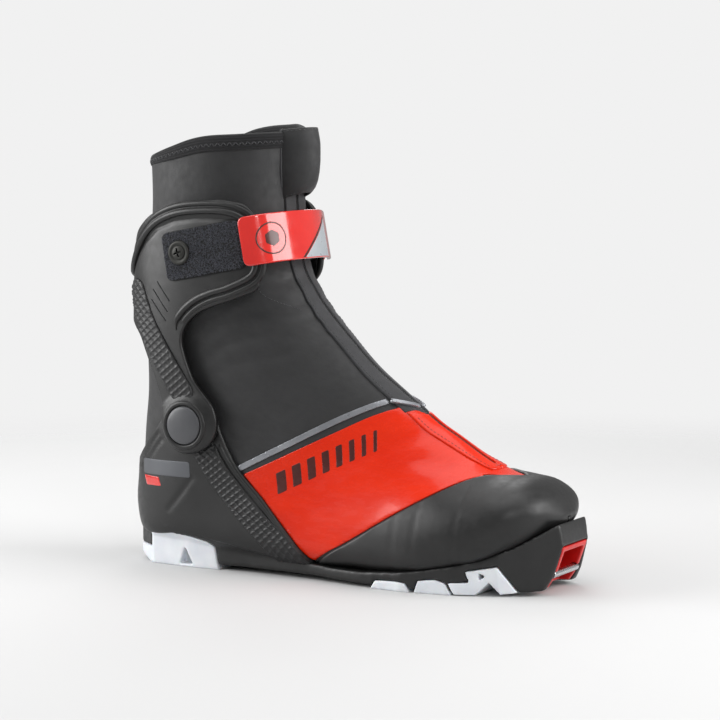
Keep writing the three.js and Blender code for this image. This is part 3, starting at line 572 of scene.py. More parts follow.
def linear(*rgb):
    """An sRGB colour, 0 to 255, as linear light."""
    return tuple((c / 255 / 12.92) if c <= 10 else ((c / 255 + 0.055) / 1.055) ** 2.4 for c in rgb)


WAVE_RATE = 3.1831  # bands of the wave texture in a unit, at a scale of one


class Finish:
    """A node material built up from a plain shader."""

    def __init__(self, name, colour, rough, coords="Object", **sockets):
        self.material = bpy.data.materials.new(name)
        self.material.use_nodes = True
        self.nodes = self.material.node_tree.nodes
        self.links = self.material.node_tree.links
        self.shader = self.nodes["Principled BSDF"]
        self.set("Base Color", (*linear(*colour), 1))
        self.set("Roughness", rough)
        for key, value in sockets.items():
            self.set(key.replace("_", " "), value)
        self.place = self.nodes.new("ShaderNodeTexCoord").outputs[coords]
        self.unit = 1000 if coords == "Object" else 10  # millimetres in a unit of the coordinates
        self.height = None

    def set(self, socket, value):
        self.shader.inputs[socket].default_value = value

    def node(self, kind, inputs=(), **settings):
        node = self.nodes.new(kind)
        for key, value in settings.items():
            setattr(node, key, value)
        for key, value in dict(inputs).items():
            if isinstance(value, bpy.types.NodeSocket):
                self.links.new(value, node.inputs[key])
            else:
                node.inputs[key].default_value = value
        return node

    def noise(self, size, detail=3.0, stretch=None):
        """Noise whose blobs are about that many millimetres across."""
        vector = self.place
        if stretch:
            mapping = self.node("ShaderNodeMapping", {"Vector": vector, "Scale": stretch})
            vector = mapping.outputs["Vector"]
        inputs = {"Vector": vector, "Scale": self.unit / size, "Detail": detail}
        return self.node("ShaderNodeTexNoise", inputs).outputs["Fac"]

    def cells(self, size):
        """Cells about that many millimetres across."""
        inputs = {"Vector": self.place, "Scale": self.unit / size}
        return self.node("ShaderNodeTexVoronoi", inputs).outputs["Distance"]

    def waves(self, pitch, direction, distortion=0.3):
        """Bands that repeat every pitch millimetres."""
        inputs = {"Vector": self.place, "Scale": self.unit / pitch / WAVE_RATE, "Distortion": distortion}
        return self.node("ShaderNodeTexWave", inputs, bands_direction=direction).outputs["Fac"]

    def weave(self, pitch):
        crossing = {0: self.waves(pitch, "X"), 1: self.waves(pitch, "Y")}
        return self.node("ShaderNodeMath", crossing, operation="MULTIPLY").outputs[0]

    def shade(self, factor, colour, low=0.3, high=0.7):
        """Blends the colour towards another where the factor is high."""
        ramp = self.node("ShaderNodeMapRange", {"Value": factor, "From Min": low, "From Max": high})
        mix = self.node("ShaderNodeMix", {"Factor": ramp.outputs["Result"]}, data_type="RGBA")
        socket = self.shader.inputs["Base Color"]
        mix.inputs["A"].default_value = socket.default_value
        mix.inputs["B"].default_value = (*linear(*colour), 1)
        self.links.new(mix.outputs["Result"], socket)
        return self

    def scuff(self, factor, low, high):
        """Roughness that runs from low to high with the factor."""
        ramp = self.node(
            "ShaderNodeMapRange",
            {"Value": factor, "From Min": 0.3, "From Max": 0.7, "To Min": low, "To Max": high},
        )
        self.links.new(ramp.outputs["Result"], self.shader.inputs["Roughness"])
        return self

    def bump(self, factor, depth, strength=1.0):
        """Adds a bump of that depth in millimetres."""
        inputs = {"Height": factor, "Distance": depth / 1000, "Strength": strength}
        if self.height is not None:
            inputs["Normal"] = self.height
        self.height = self.node("ShaderNodeBump", inputs).outputs["Normal"]
        self.links.new(self.height, self.shader.inputs["Normal"])
        return self


def softshell():
    f = Finish("softshell_dark", (25, 25, 26), 0.6, "UV", Sheen_Weight=0.12, Sheen_Roughness=0.45)
    f.shade(f.noise(14, 4), (33, 33, 34))
    weave = f.weave(0.55)
    f.scuff(f.noise(5, 5), 0.54, 0.68)
    return f.bump(weave, 0.035).bump(f.noise(2.4, 4), 0.05).material


def facing_cloth():
    f = Finish("softshell_facing", (36, 36, 38), 0.6, "UV", Sheen_Weight=0.15, Sheen_Roughness=0.4)
    f.shade(f.noise(6, 4), (44, 44, 47))
    return f.bump(f.weave(0.5), 0.05).bump(f.noise(2, 4), 0.05).material


def lining():
    f = Finish("lining_mesh", (30, 30, 32), 0.9, "Object", Sheen_Weight=0.5, Sheen_Roughness=0.6)
    f.shade(f.cells(1.3), (12, 12, 13), 0.1, 0.6)
    return f.bump(f.cells(1.3), 0.25).material


def binding_knit():
    f = Finish("binding_knit", (9, 9, 11), 0.9, "UV", Sheen_Weight=0.08, Sheen_Roughness=0.5)
    ribs = f.waves(0.9, "Y", 0.6)
    f.shade(ribs, (19, 19, 22), 0.35, 0.95)
    return f.bump(ribs, 0.16).bump(f.waves(0.45, "X", 1.0), 0.1).material


def moulded(name, colour, rough, grain=0.3, depth=0.03, lighter=None, **sockets):
    f = Finish(name, colour, rough, "Object", **sockets)
    f.shade(f.noise(11, 5), lighter or tuple(c + 5 for c in colour))
    f.scuff(f.noise(3.5, 6), rough - 0.05, rough + 0.08)
    return f.bump(f.cells(grain), depth).bump(f.noise(7, 2), 0.04).material


def film(name, colour, rough, deeper, **sockets):
    f = Finish(name, colour, rough, "UV", **sockets)
    f.shade(f.noise(22, 3), deeper, 0.35, 0.75)
    f.scuff(f.noise(6, 6), rough - 0.04, rough + 0.07)
    return f.bump(f.noise(3.2, 3), 0.035).bump(f.noise(14, 1), 0.12).material


def metal(name, colour, rough, stretch=(1, 1, 1)):
    f = Finish(name, colour, rough, "Object", Metallic=1.0)
    f.scuff(f.noise(0.7, 5, stretch), rough - 0.08, rough + 0.12)
    return f.bump(f.noise(0.5, 3, stretch), 0.006).material


def thread(name, colour):
    f = Finish(name, colour, 0.7, "Object", Sheen_Weight=0.4)
    f.shade(f.noise(0.5, 2), tuple(int(c * 0.7) for c in colour))
    return f.bump(f.noise(0.25, 2), 0.03).material


SOFT = softshell()
FACING = facing_cloth()
LINING = lining()
KNIT = binding_knit()
TPU = moulded("tpu_black", (24, 24, 24), 0.42, 0.35, 0.015, Specular_IOR_Level=0.45)
PLASTIC = moulded("shell_black", (19, 19, 19), 0.38, 0.28, 0.022, Specular_IOR_Level=0.5)
GRIP = moulded("grip_black", (22, 22, 23), 0.45, 0.25, 0.02)
SOLE = moulded("sole_rubber", (19, 19, 19), 0.42, 0.4, 0.03)
WHITE = moulded("tread_white", (226, 229, 233), 0.42, 0.5, 0.012, (214, 218, 224),
                Subsurface_Weight=0.08, Subsurface_Scale=0.002)  # fmt: skip
RED_PLASTIC = moulded("insert_red", (196, 22, 16), 0.33, 0.5, 0.01, (180, 16, 12))
CAP = moulded("cap_grey", (70, 71, 74), 0.36, 0.4, 0.012)
RED = film("film_red", (214, 40, 4), 0.25, (206, 34, 3),
           Specular_IOR_Level=0.25, Coat_Weight=0.22, Coat_Roughness=0.1)  # fmt: skip
STRAP_RED = film("strap_red", (216, 34, 24), 0.16, (200, 24, 18), Coat_Weight=1.0, Coat_Roughness=0.05)
PALE = film("strap_silver", (186, 192, 196), 0.3, (170, 176, 182), Metallic=0.3)
SILVER = film("stripe_silver", (150, 152, 156), 0.3, (128, 130, 136), Metallic=0.55)
DARK_PRINT = film("print_dark", (70, 16, 8), 0.3, (58, 12, 6), Coat_Weight=0.3)
LABEL = film("label_grey", (92, 94, 98), 0.4, (84, 86, 90), Metallic=0.3)
STEEL = metal("steel_bright", (205, 206, 208), 0.24, (1, 12, 1))
SCREW = metal("screw_black", (66, 66, 64), 0.5)
HOOKS = moulded("hook_black", (12, 12, 13), 0.85, 0.3, 0.05)
# The hooks' light grey is painted glint: light catching hooks that are as black as the patch.
HOOK_GLINT = moulded("hook_glint", (64, 66, 74), 0.55, 0.3, 0.02)
THREAD = thread("thread_grey", (48, 48, 52))
THREAD_DARK = thread("thread_black", (24, 24, 26))
THREAD_RED = thread("thread_red", (120, 16, 8))
LACE = thread("lace_black", (40, 40, 42))
BOARD = moulded("lasting_board", (138, 134, 124), 0.85, 0.6, 0.08)


# ---------------------------------------------------------------- the boot's surfaces

RIM = [
    (-140, 230), (-127, 231.5), (-112, 234.6), (-97.5, 238.5), (-84, 242.3), (-72, 244.2), (-56, 245),
    (-36, 246.3), (-20, 246.8),
]
FLEX = np.array([-0.416, 0, 0.909])  # the way the flexing band runs, from the foot up to the cuff


def sculpted(points):
    """Soft, shallow unevenness of the lasted upper, with creases where the ankle bends."""
    x, y, z = points[..., 0], points[..., 1], points[..., 2]
    slow = np.sin(x / 17 + z / 23) * np.sin(y / 13 - z / 31 + 1) + 0.6 * np.sin(x / 9 - z / 13 + y / 11)
    along = x * FLEX[2] - z * FLEX[0]
    height = x * FLEX[0] + z * FLEX[2]
    front = smoothstep(-40, 20, along)
    folds = sum(
        depth * bell(height - at - 3.0 * np.sin(along / 11 + at), 3.2)
        for at, depth in ((140, -0.9), (152, -0.7), (128, -0.5), (163, -0.5))
    )
    toe = smoothstep(60, 80, x)
    dent = -1.3 * np.exp(-(((x - 64) / 15) ** 2) - ((np.abs(y) - 25) / 8) ** 2) * smoothstep(60, 70, z)
    return dent + 0.28 * slow * (1 - toe) + folds * front * (1 - toe) * smoothstep(3, 16, np.abs(y))


upper = Surface(UPPER)
upper.sculpt(sculpted)
shell = Surface(CUFF)


def flexes(obj):
    """Bakes a piece's transform into its mesh."""
    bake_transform(obj)
    return obj


def drawn(controls, spacing=1.2, closed=False, curve=True):
    """A line of places through control places, sampled about every spacing."""
    scale = np.array([12.0, 140.0])  # roughly the millimetres in a station and from front to back
    line = (spline if curve else straight)(np.asarray(controls, float) * scale, spacing, closed)
    return line / scale


def traced(line, side):
    """The places under a curve drawn in the side view."""
    return upper.find(spline(line, 1.2), side)


def station_at(x):
    """The station whose frontmost point has that x."""
    collar = 32  # rows at the top, where the front doesn't yet slope forward
    front = upper.points[:, len(upper.w) // 2, 0]
    return np.interp(x, front[collar:], upper.u[collar:])


def meridian(u, y):
    """The places at stations u where the front of the ring is y off the middle, lateral positive."""
    u, y = np.broadcast_arrays(np.asarray(u, float), np.asarray(y, float))
    w = np.zeros(u.shape)
    for i in range(u.size):
        side = 1 if y.flat[i] >= 0 else -1
        share = np.linspace(0, 0.5, 120)
        ring = upper.at(pairs(u.flat[i], side * share))
        w.flat[i] = side * np.interp(abs(y.flat[i]), np.abs(ring[:, 1]), share)
    return pairs(u, w)


def widened(line, width):
    """The closed outline of a band of that width along a line in the side view, with rounded ends."""
    line = np.asarray(line, float)
    ahead = unit(np.gradient(line, axis=0))
    across = beside(line) * width / 2
    caps = []
    for end, direction, side in ((line[-1], ahead[-1], across[-1]), (line[0], -ahead[0], -across[0])):
        turn = np.linspace(0, np.pi, 9)[1:-1]
        caps.append([end + side * math.cos(t) + direction * (width / 2) * math.sin(t) for t in turn])
    return np.vstack([line + across, caps[0], (line - across)[::-1], caps[1]])


# ---------------------------------------------------------------- bootie


def rim_station(w, drop=0.0):
    """The station at which each column of the upper is drop millimetres under the rim line."""
    rim = spline(RIM, 1.0)
    out = []
    for column in w:
        place = pairs(np.linspace(0, 2.4, 200), column)
        at = upper.at(place)
        # The medial side stands higher.
        hump = 5.8 * smoothstep(0.04, 0.3, -column) * (1 - smoothstep(0.5, 0.88, -column))
        above = at[:, 2] - (np.interp(at[:, 0], rim[:, 0], rim[:, 1]) + hump - drop)
        out.append(np.interp(0, -above, place[:, 0]))
    return np.array(out)


def tube_grid(columns, rows_down, wall):
    """Places and heights of the bootie, row by row: up its inside, over the rim and down its outside."""
    w = np.linspace(-1, 1, columns, endpoint=False)
    start = rim_station(w)
    down = rows_down[:, None]
    level = smoothstep(0, 3.0, down)
    rows = np.maximum(start + 0.04, start + down * (1 - level) + (down - start) * level)
    angle = np.pi * np.arange(1, 5) / 5
    over = start + 0.04 - 0.06 * np.sin(angle)[:, None]
    every = np.vstack([rows[::-1], over, rows])
    inner, outer = np.full(len(rows), -wall), np.zeros(len(rows))
    heights = np.concatenate([inner, -wall * (1 + np.cos(angle)) / 2, outer])
    return pairs(every, w), heights


def bootie():
    """The soft inner boot: one skin from the toe to the collar, with an inside as well."""
    columns = 288
    rows_down = np.concatenate([np.arange(0, 19, 0.09), np.linspace(19, 20, 14)])
    place, heights = tube_grid(columns, rows_down, BOOTIE_WALL)
    skipped = (rows_down >= 18.6).sum()  # rows so near the toe's tip that the inside has no room for them
    place, heights = place[skipped:], heights[skipped:]
    rows = len(place)
    points = upper.at(place, np.broadcast_to(heights[:, None], place.shape[:2]))
    length = np.cumsum(np.linalg.norm(np.diff(points, axis=0, prepend=points[:1]), axis=2), 0).mean(1)
    arc = upper.lookup(upper.points, place)
    girth = np.cumsum(np.linalg.norm(np.diff(arc, axis=1, prepend=arc[:, :1]), axis=2), 1)
    middle = girth[:, columns // 2 : columns // 2 + 1]
    uv = pairs(girth - middle, length[:, None]) / 10
    ends = [range(columns)[::-1], range((rows - 1) * columns, rows * columns)]
    faces = [*grid_faces(rows, columns, wrap=True), *ends]
    obj = make("bootie", points, faces, SOFT, None, uv.reshape(-1, 2))
    flip_outward(obj)
    flexes(obj)
    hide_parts("upper_lateral", "upper_medial", "flex_gusset_lateral", "flex_gusset_medial",
                "tendon_gusset", "collar_lateral", "collar_medial")  # fmt: skip


bootie()

# ---------------------------------------------------------------- forefoot

RAND_EDGE = [(-8, 8.6), (5.5, 16.6), (17.8, 23.2), (49.8, 42.3), (76.9, 56.9), (90, 61.4)]
TOE_TIP = station_at(105.5)


def rand_relief(points):
    """A few upright creases in the rand and its slight waviness."""
    x, y, z = points[:, 0], points[:, 1], points[:, 2]
    creases = sum(0.2 * bell(x - c - 0.05 * (z - 30), 1.1) for c in (47, 60, 84))
    return -(creases * smoothstep(6, 16, np.abs(y))) + 0.12 * np.sin(x / 5.2 + z / 7)


def rand():
    """The moulded band round the toe."""
    edges = [upper.find(RAND_EDGE, side) for side in (LATERAL, MEDIAL)]
    over = drawn(np.vstack([edges[0], [[TOE_TIP, 0]], edges[1][::-1]]))
    last = len(UPPER) - 1.04
    low = np.array([[13.3, 0.83], [15.5, 0.86], [17.2, 0.86], [18.3, 0.84], [18.8, 0.97], [last, 0.985]])
    under = drawn(np.vstack([low * [1, MEDIAL], low[::-1]]), 2.5, curve=False)
    outline = np.vstack([over, under])
    obj = patch("toe_rand_skin", upper, outline, 1.7, TPU, "foot", 1.3, 1.3, relief=rand_relief)
    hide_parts("toe_rand")


FILM_TOP = [(-51.6, 56), (-31, 65.5), (-2.4, 79.3), (19.1, 89.9), (30, 94.3)]
FILM_REAR = [(-51.6, 56), (-38.4, 42.3), (-25.7, 28.9), (-12, 15.6), (-6.2, 10.9)]
STRIPE = [(-56, 58.3), (-25.3, 73.7), (3.9, 88.7), (20.8, 96.4), (27, 98.6)]


def facing_line(start, stop, y, count=60):
    """A line of places along the front, y off the middle."""
    u = np.linspace(start, stop, count)
    return meridian(u, np.full(count, y))


ZIP_END = station_at(87)
FILM_START = station_at(37.5)
SLIT = 1.9


def vamp():
    """The printed film over the forefoot, open down the middle for the zip, with its stripes and bars."""
    rears, edges, tops = [], [], []
    low = [(x, z + 0.9) for x, z in RAND_EDGE[2:]]
    for side in (LATERAL, MEDIAL):
        rears.append(traced(FILM_REAR, side))
        edges.append(upper.find(spline([FILM_REAR[-1], (5.5, 17.7), *low], 2), side))
        fold = meridian([FILM_START + 0.1, FILM_START - 0.1], [side * 11.0, side * SLIT])
        tops.append(drawn(np.vstack([upper.find(FILM_TOP, side), fold])))
    slit = [facing_line(FILM_START - 0.1, ZIP_END - 0.12, s * SLIT, 50) for s in (LATERAL, MEDIAL)]
    end = meridian([ZIP_END, ZIP_END + 0.05, ZIP_END], [-SLIT * 0.8, 0, SLIT * 0.8])
    front = drawn(np.vstack([edges[0][-2:], [[TOE_TIP, 0]], edges[1][-2:][::-1]]))
    outline = np.vstack([
        rears[0], edges[0][1:-2], front, edges[1][1:-2][::-1], rears[1][::-1],
        tops[1][1:], slit[1][1:], end, slit[0][::-1][:-1], tops[0][1:-1][::-1],
    ])  # fmt: skip
    obj = patch("vamp_film_skin", upper, outline, 0.7, RED, "foot", 1.6, 0.5)
    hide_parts("vamp_film")
    for side, name in SIDES:
        places = upper.find(STRIPE, side)
        mid = drawn(np.vstack([places, meridian([FILM_START - 0.33], [side * 11.6])]))
        obj = band("stripe_skin_" + name, upper, mid, 3.3, 0.55, SILVER, "foot", 0.25, 0.12)
        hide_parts("stripe_" + name)
        hatching(side, name)


def hatching(side, name):
    """A plain row of slanted bars on the film, thinning out towards the zip."""
    line = spline([(-31.5, 51.2), (-8, 62.5), (18, 74.5), (42, 84.5)], 1.0)
    length = lengths(line)
    half, slant, gap = 5.6, 3.2, 4.2
    at = 0.0
    for k in range(8):
        width = 6.2 - 0.6 * k
        corners = []
        for along, rise in ((at, -half), (at + width, -half), (at + width + slant, half), (at + slant, half)):
            x, z = pick(along, length, line)
            corners.append((x - 0.42 * rise, z + 0.91 * rise))
        outline = upper.find(rounded(corners, 0.8, 0.8), side)
        bar = "film_print_%s_%d" % (name, k)
        obj = patch(bar, upper, outline, 0.12, DARK_PRINT, "foot", 1.6, 0.08, 0.68, sink=0.1)
        at += width + gap


def band(name, surface, middle, width, height, material, body, edge=0.3, base=0.0):
    """A strip along a line of places, of that width in the surface."""
    points, normal = surface.at(middle), surface.out(middle)
    across = unit(np.cross(unit(np.gradient(points, axis=0)), normal))
    delta = surface.pace(middle, across) * width / 2
    outline = np.vstack([middle + delta, (middle - delta)[::-1]])
    return patch(name, surface, outline, height, material, body, 1.2, edge, base)


rand()
vamp()


# ---------------------------------------------------------------- zip and facings


def facings():
    """The soft flaps beside the zip and the film ones that go on over the toe, with their seams."""
    collar = rim_station(np.array([0.0]), 5.0)[0]
    split_in, split_out = station_at(46.5), station_at(43)
    for side, name in SIDES:
        far = 10.6 if side > 0 else 11.4
        inner = facing_line(collar, split_in, side * 1.2, 150)
        outer = facing_line(collar, split_out, side * far, 150)
        outline = np.vstack([inner, outer[::-1]])
        obj = flexes(patch("zip_facing_" + name, upper, outline, 1.35, FACING, None, 1.6, 0.9))
        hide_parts("zip_tape_vamp_" + name, "zip_tape_collar_" + name)
        seam = facing_line(collar + 0.2, FILM_START - 0.35, side * (far - 1.5), 160)
        stitches = stitched("facing_stitch_" + name, upper, seam, 1.35, THREAD_DARK, None, 2.5)
        flexes(stitches)
        places = meridian([FILM_START - 0.24, station_at(42)], [side * 11.2, side * 2.2])
        fold = band("stripe_fold_" + name, upper, drawn(places), 2.0, 1.55, SILVER, "foot", 0.25, 1.2)
        red_inner = facing_line(split_in, ZIP_END - 0.02, side * 1.7)
        red_outer = facing_line(split_out, ZIP_END + 0.18, side * (far - 0.6))
        ends = [(0.03, 0.05), (0.52, 0.05), (0.52, 3.5), (0.5, far - 4.2), (0.4, far - 1.6)]
        end = np.vstack([meridian([ZIP_END + u], [side * y]) for u, y in ends])
        outline = np.vstack([red_inner, end, red_outer[::-1]])
        obj = patch("red_facing_" + name, upper, outline, 1.5, RED, "foot", 1.3, 0.7, 0.2)
        seam = facing_line(split_in + 0.06, ZIP_END + 0.1, side * (far - 2.3), 70)
        obj = stitched("red_stitch_" + name, upper, seam, 1.72, THREAD_RED, "foot", 2.4)
    across = meridian(np.full(12, ZIP_END + 0.3), np.linspace(-5.5, 5.5, 12))
    obj = stitched("zip_end_stitch", upper, across, 1.72, THREAD_RED, "foot", 1.8, (1.3, 0.45, 0.35))


def zip_coil():
    """Coil teeth and their tapes down the slit, from the collar to the end on the toe box."""
    top = rim_station(np.array([0.0]), 12.0)[0]
    line = facing_line(top, ZIP_END, 0.0, 260)
    tape = band("zip_tape", upper, line[::2], 3.4, 0.35, KNIT, None, 0.3)
    flexes(tape)
    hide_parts("zip_flex")
    height, pitch = 0.55, 1.24
    length = lengths(upper.at(line, height))
    for name, side, start in (("left", 1, 0.6), ("right", -1, 0.6 + pitch / 2)):
        at = np.arange(start, length[-1], pitch)
        place = pick(at, length, line)
        centres = upper.at(place, height) + [[0, -side * 0.45, 0]]
        across = np.tile([0.0, 1.0, 0.0], (len(at), 1))
        coil = beads("zip_coil_" + name, centres, across, upper.out(place), (1.9, 0.7, 0.9), PLASTIC, None)
        flexes(coil)
        if side > 0:
            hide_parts("zip_chain_vamp", "zip_chain_collar")


facings()
zip_coil()

# ---------------------------------------------------------------- heel counter and brace

BRACE = [(-79, 75), (-68, 57.5), (-54.5, 42.5), (-41, 30), (-26, 17.5), (-17, 10.5)]
PIPING = [(-66, 74), (-61.5, 65), (-53, 54), (-38.4, 39.6), (-24.5, 25.6), (-14, 15.8), (-8.5, 10.8)]
ARM = [(-121, 157), (-112, 139), (-98, 118), (-86, 101)]


def diamonds(points, pitch=3.4, rise=0.62, slope=0.8):
    """Raised lines that cross in a diamond net, in the side view."""
    x, z = points[:, 0], points[:, 2]
    out = np.zeros(len(points))
    for sign in (1, -1):
        phase = ((0.62 * x + sign * slope * z) / pitch) % 1
        out = np.maximum(out, bell((phase - 0.5) * pitch, 0.42))
    return rise * out


def side_gap(points, line):
    """Distance in the side view from an open line."""
    return gap_to(np.array(line, float), points[:, [0, 2]], False)


def counter_relief(points):
    """The counter's moulded groove pair, its bearing pad round the pivot and its gentle waviness."""
    x, z = points[:, 0], points[:, 2]
    from_pivot = np.hypot(x - PIVOT[0], z - PIVOT[1])
    lines = ([(-127, 56), (-121, 61), (-107, 76.5)], [(-121.5, 56.5), (-116, 61), (-104.5, 73)])
    grooves = sum(0.9 * bell(side_gap(points, line), 0.8) for line in lines)
    crease = 0.55 * bell(side_gap(points, [(-84, 52), (-92, 42), (-100, 33)]), 1.5)
    return 0.9 * (1 - smoothstep(13, 18, from_pivot)) - grooves - crease + 0.12 * np.sin(x / 8 + z / 5)


COUNTER_TOP = [
    (-134.2, 57.5), (-130.5, 58.5), (-122.5, 65.5), (-111.5, 77.5), (-104, 86), (-97, 96), (-84, 101),
    (-71, 95), (-64.5, 79), (-60, 69), (-53, 57.5), (-38.4, 43.2), (-25.7, 29.6), (-13, 16.6), (-7, 10.6),
]  # fmt: skip
COUNTER_FOOT = [(-7, 8), (-22, 10), (-35, 12.5), (-60, 16.5), (-100, 20)]


def counter():
    """The hard heel shell, with the brace's grip pad and its piping on each side."""
    tops = [traced(COUNTER_TOP, side) for side in (LATERAL, MEDIAL)]
    tops = [top[np.abs(top[:, 1]) < 0.985] for top in tops]
    feet = [upper.find(COUNTER_FOOT, side) for side in (LATERAL, MEDIAL)]
    heel = upper.find([(-133.4, 24)], LATERAL)[0, 0]
    medial = past_back(np.vstack([tops[1], feet[1]]))[::-1]
    outline = np.vstack([tops[0], feet[0], [[heel, 0.97], [heel, 1.03]], medial])
    outline = drawn(outline, 1.6, closed=True, curve=False)
    wall = COUNTER_WALL
    obj = patch("heel_counter_skin", upper, outline, wall, PLASTIC, "foot", 1.4, 1.3, relief=counter_relief)
    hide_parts("heel_counter")
    for side, name in SIDES:
        outline = upper.find(widened(spline(BRACE, 1.5), 14.6), side)
        pad = "brace_grip_skin_" + name
        obj = patch(pad, upper, outline, 0.9, GRIP, "foot", 0.6, 0.6, wall - 0.1, relief=diamonds)
        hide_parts("brace_grip_" + name)
        line = spline(PIPING, 1.0)
        for part, shift, radius, lift, ribs in (("outer", 0, 1.25, 2.3, 0), ("inner", -2.9, 0.8, 3.1, 0.16)):
            places = upper.find(line + beside(line) * shift, side)
            points, out = upper.at(places, lift), upper.out(places)
            count = np.arange(len(points))
            scale = (1 + ribs * np.sin(count * 2.4)) * (0.2 + 0.8 * smoothstep(0, 4, count))
            piping = "brace_piping_%s_%s" % (part, name)
            obj = sweep(piping, points, out, circle(radius), PLASTIC, "foot", scale=scale)


counter()

# ---------------------------------------------------------------- cuff

CUFF_EDGE = [
    (-134, 177), (-123, 191.5), (-112, 199.5), (-99, 205.5), (-84, 209), (-60, 210), (-46, 207.5),
    (-38, 199.5), (-36, 188), (-36, 174), (-38, 160), (-54, 154), (-66, 150.3), (-75, 146.8),
    (-81.5, 142), (-86, 135.5), (-86.8, 129), (-84.2, 120), (-79, 108), (-71.5, 100), (-66, 93.5),
    (-63.8, 85), (-65.3, 77), (-70.5, 70.5), (-79, 66.6), (-88, 66.4), (-96, 71), (-100.5, 80),
    (-101, 96), (-107.5, 112), (-118, 132), (-130, 141),
]  # fmt: skip
BEAD = [
    (-133, 163), (-127, 172), (-120.5, 181.5), (-113, 190), (-103, 197.3), (-90, 202), (-75, 203.8),
    (-58, 203.6), (-47, 200), (-41, 192), (-39.2, 180), (-41, 168.5), (-55, 161), (-66.5, 157.6),
    (-76, 153.6), (-83.5, 148.2), (-88.6, 142), (-89.2, 136.5),
]  # fmt: skip
# Side view lines of the cuff's flutes, each drawn as a thin dark line of painted shade.
FLUTES = ([(-103, 163.3), (-94, 152.5)], [(-106, 158.7), (-95.5, 146.4)], [(-107.4, 153), (-96.8, 141.3)])


def for_side(line, side):
    """A side view line of the cuff on one side: the medial wing ends further back than the lateral one."""
    line = np.array(line, float)
    if side == MEDIAL:
        line[:, 0] = np.where(line[:, 0] > -60, -60 + (line[:, 0] + 60) * 0.58, line[:, 0])
    return line


def cuff_relief(points):
    """The boss round the pivot, the trench beside the moulded bead and the shallow seat of the arm's pad."""
    x, z = points[:, 0], points[:, 2]
    from_pivot = np.hypot(x - PIVOT[0], z - PIVOT[1])
    boss = 1.9 * (1 - smoothstep(13.5, 19.5, from_pivot))
    trench = 0.8 * bell(side_gap(points, [(a - 1.2, b - 4.6) for a, b in BEAD[:9]]), 1.4)
    seat = 0.21 * np.exp(-((side_gap(points, [(a + 1.0, b + 0.5) for a, b in ARM]) / 9.5) ** 4))
    return boss - trench - seat + 0.08 * np.sin(x / 9 - z / 12)


def cuff():
    """The hard cuff, with its moulded bead and flange, its flutes as thin dark lines of painted shade and the
    grip pad down each arm.
    """
    sides = []
    for side in (LATERAL, MEDIAL):
        dense = rounded([*for_side(CUFF_EDGE, side), (-170, 141), (-170, 177)], 4, 1.3)
        dense = dense[dense[:, 0] > -133.2]
        cut = np.argmax(np.linalg.norm(dense - np.roll(dense, 1, 0), axis=1))
        dense = np.roll(dense, -cut, 0)
        places = shell.find(dense, side)
        sides.append(places[np.abs(places[:, 1]) < 0.97])
    outline = np.vstack([sides[0], past_back(sides[1])[::-1]])
    wall = CUFF_WALL
    obj = patch("cuff_skin", shell, outline, wall, PLASTIC, "cuff", 1.2, 1.1, closed=True, relief=cuff_relief)
    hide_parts("cuff")
    for side, name in SIDES:
        cuff_lip(side, name)
        for k, flute in enumerate(FLUTES):
            place = shell.find(straight(flute, 0.8), side)
            points, out = shell.at(place, wall + 0.06), shell.out(place)
            # A thin dark sweep in the black hook material: painted shade in the flute's groove.
            obj = sweep("cuff_flute_shade_%s_%d" % (name, k), points, out, circle(0.36, 8, 0.7), HOOKS, "cuff")
        outline = shell.find(widened(spline(ARM, 1.5), 14.5), side)
        pad = "arm_grip_skin_" + name
        obj = patch(pad, shell, outline, 0.7, GRIP, "cuff", 0.6, 0.5, wall - 0.05, relief=diamonds)
        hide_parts("arm_grip_" + name)


def cuff_lip(side, name):
    """The round bead and the softer flange along the cuff's upper edge, both thin at their ends."""
    flat = spline(for_side(BEAD, side), 1.2)
    count = np.arange(len(flat))
    scale = 0.15 + 0.85 * (smoothstep(0, 8, count[::-1]) * smoothstep(0, 5, count))
    for part, shift, radius, lift, squash in (("bead", 0.4, 1.9, 2.7, 0.95), ("flange", -3.6, 1.8, 1.5, 1.0)):
        line = shell.find(flat - beside(flat) * shift, side)
        points, out = shell.at(line, lift), shell.out(line)
        profile = circle(radius, 14, squash)
        obj = sweep("cuff_lip_%s_%s" % (part, name), points, out, profile, PLASTIC, "cuff", scale=scale)
        if part == "bead":
            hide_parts("cuff_lip_" + name)


cuff()


def pivots():
    """The hinge's domed caps and the rings round them."""
    ring = [
        (11.0, 43.4), (11.0, 45.2), (11.3, 46.0), (11.9, 46.35), (12.8, 46.35), (13.6, 46.0), (14.0, 45.2),
        (14.0, 43.4),
    ]  # fmt: skip
    cap = [
        (0.01, 44.4), (10.3, 44.4), (10.7, 45.0), (10.75, 45.8), (10.55, 46.4), (10.0, 46.8), (8.6, 47.15),
        (6.3, 47.5), (3.2, 47.75), (0.01, 47.85),
    ]  # fmt: skip
    for side, name in SIDES:
        obj = turned("pivot_ring_" + name, PIVOT, -side, ring, PLASTIC, "cuff")
        obj = turned("pivot_cap_dome_" + name, PIVOT, -side, cap, CAP, "foot")
        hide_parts("pivot_cap_" + name)


pivots()

# ---------------------------------------------------------------- strap

TRACK_TILT = math.radians(10.5)
TRACK_CENTRE = np.array((-75.0, 181.0))
TRACK_UP = np.array([-math.sin(TRACK_TILT), math.cos(TRACK_TILT)])
TRACK_AHEAD = np.array([math.cos(TRACK_TILT), math.sin(TRACK_TILT)])
TRACK = [
    (31.2, 45.2), (35.7, 38), (40.4, 29.5), (45.4, 19.5), (49.3, 9.5), (51, -1), (51, -12), (50, -22),
    (48, -31), (45, -38.5), (41.5, -43.2), (37, -46), (30.5, -47.4),
]  # fmt: skip
TRACK_REACH = 16  # how far the track's surface goes up and down from its middle


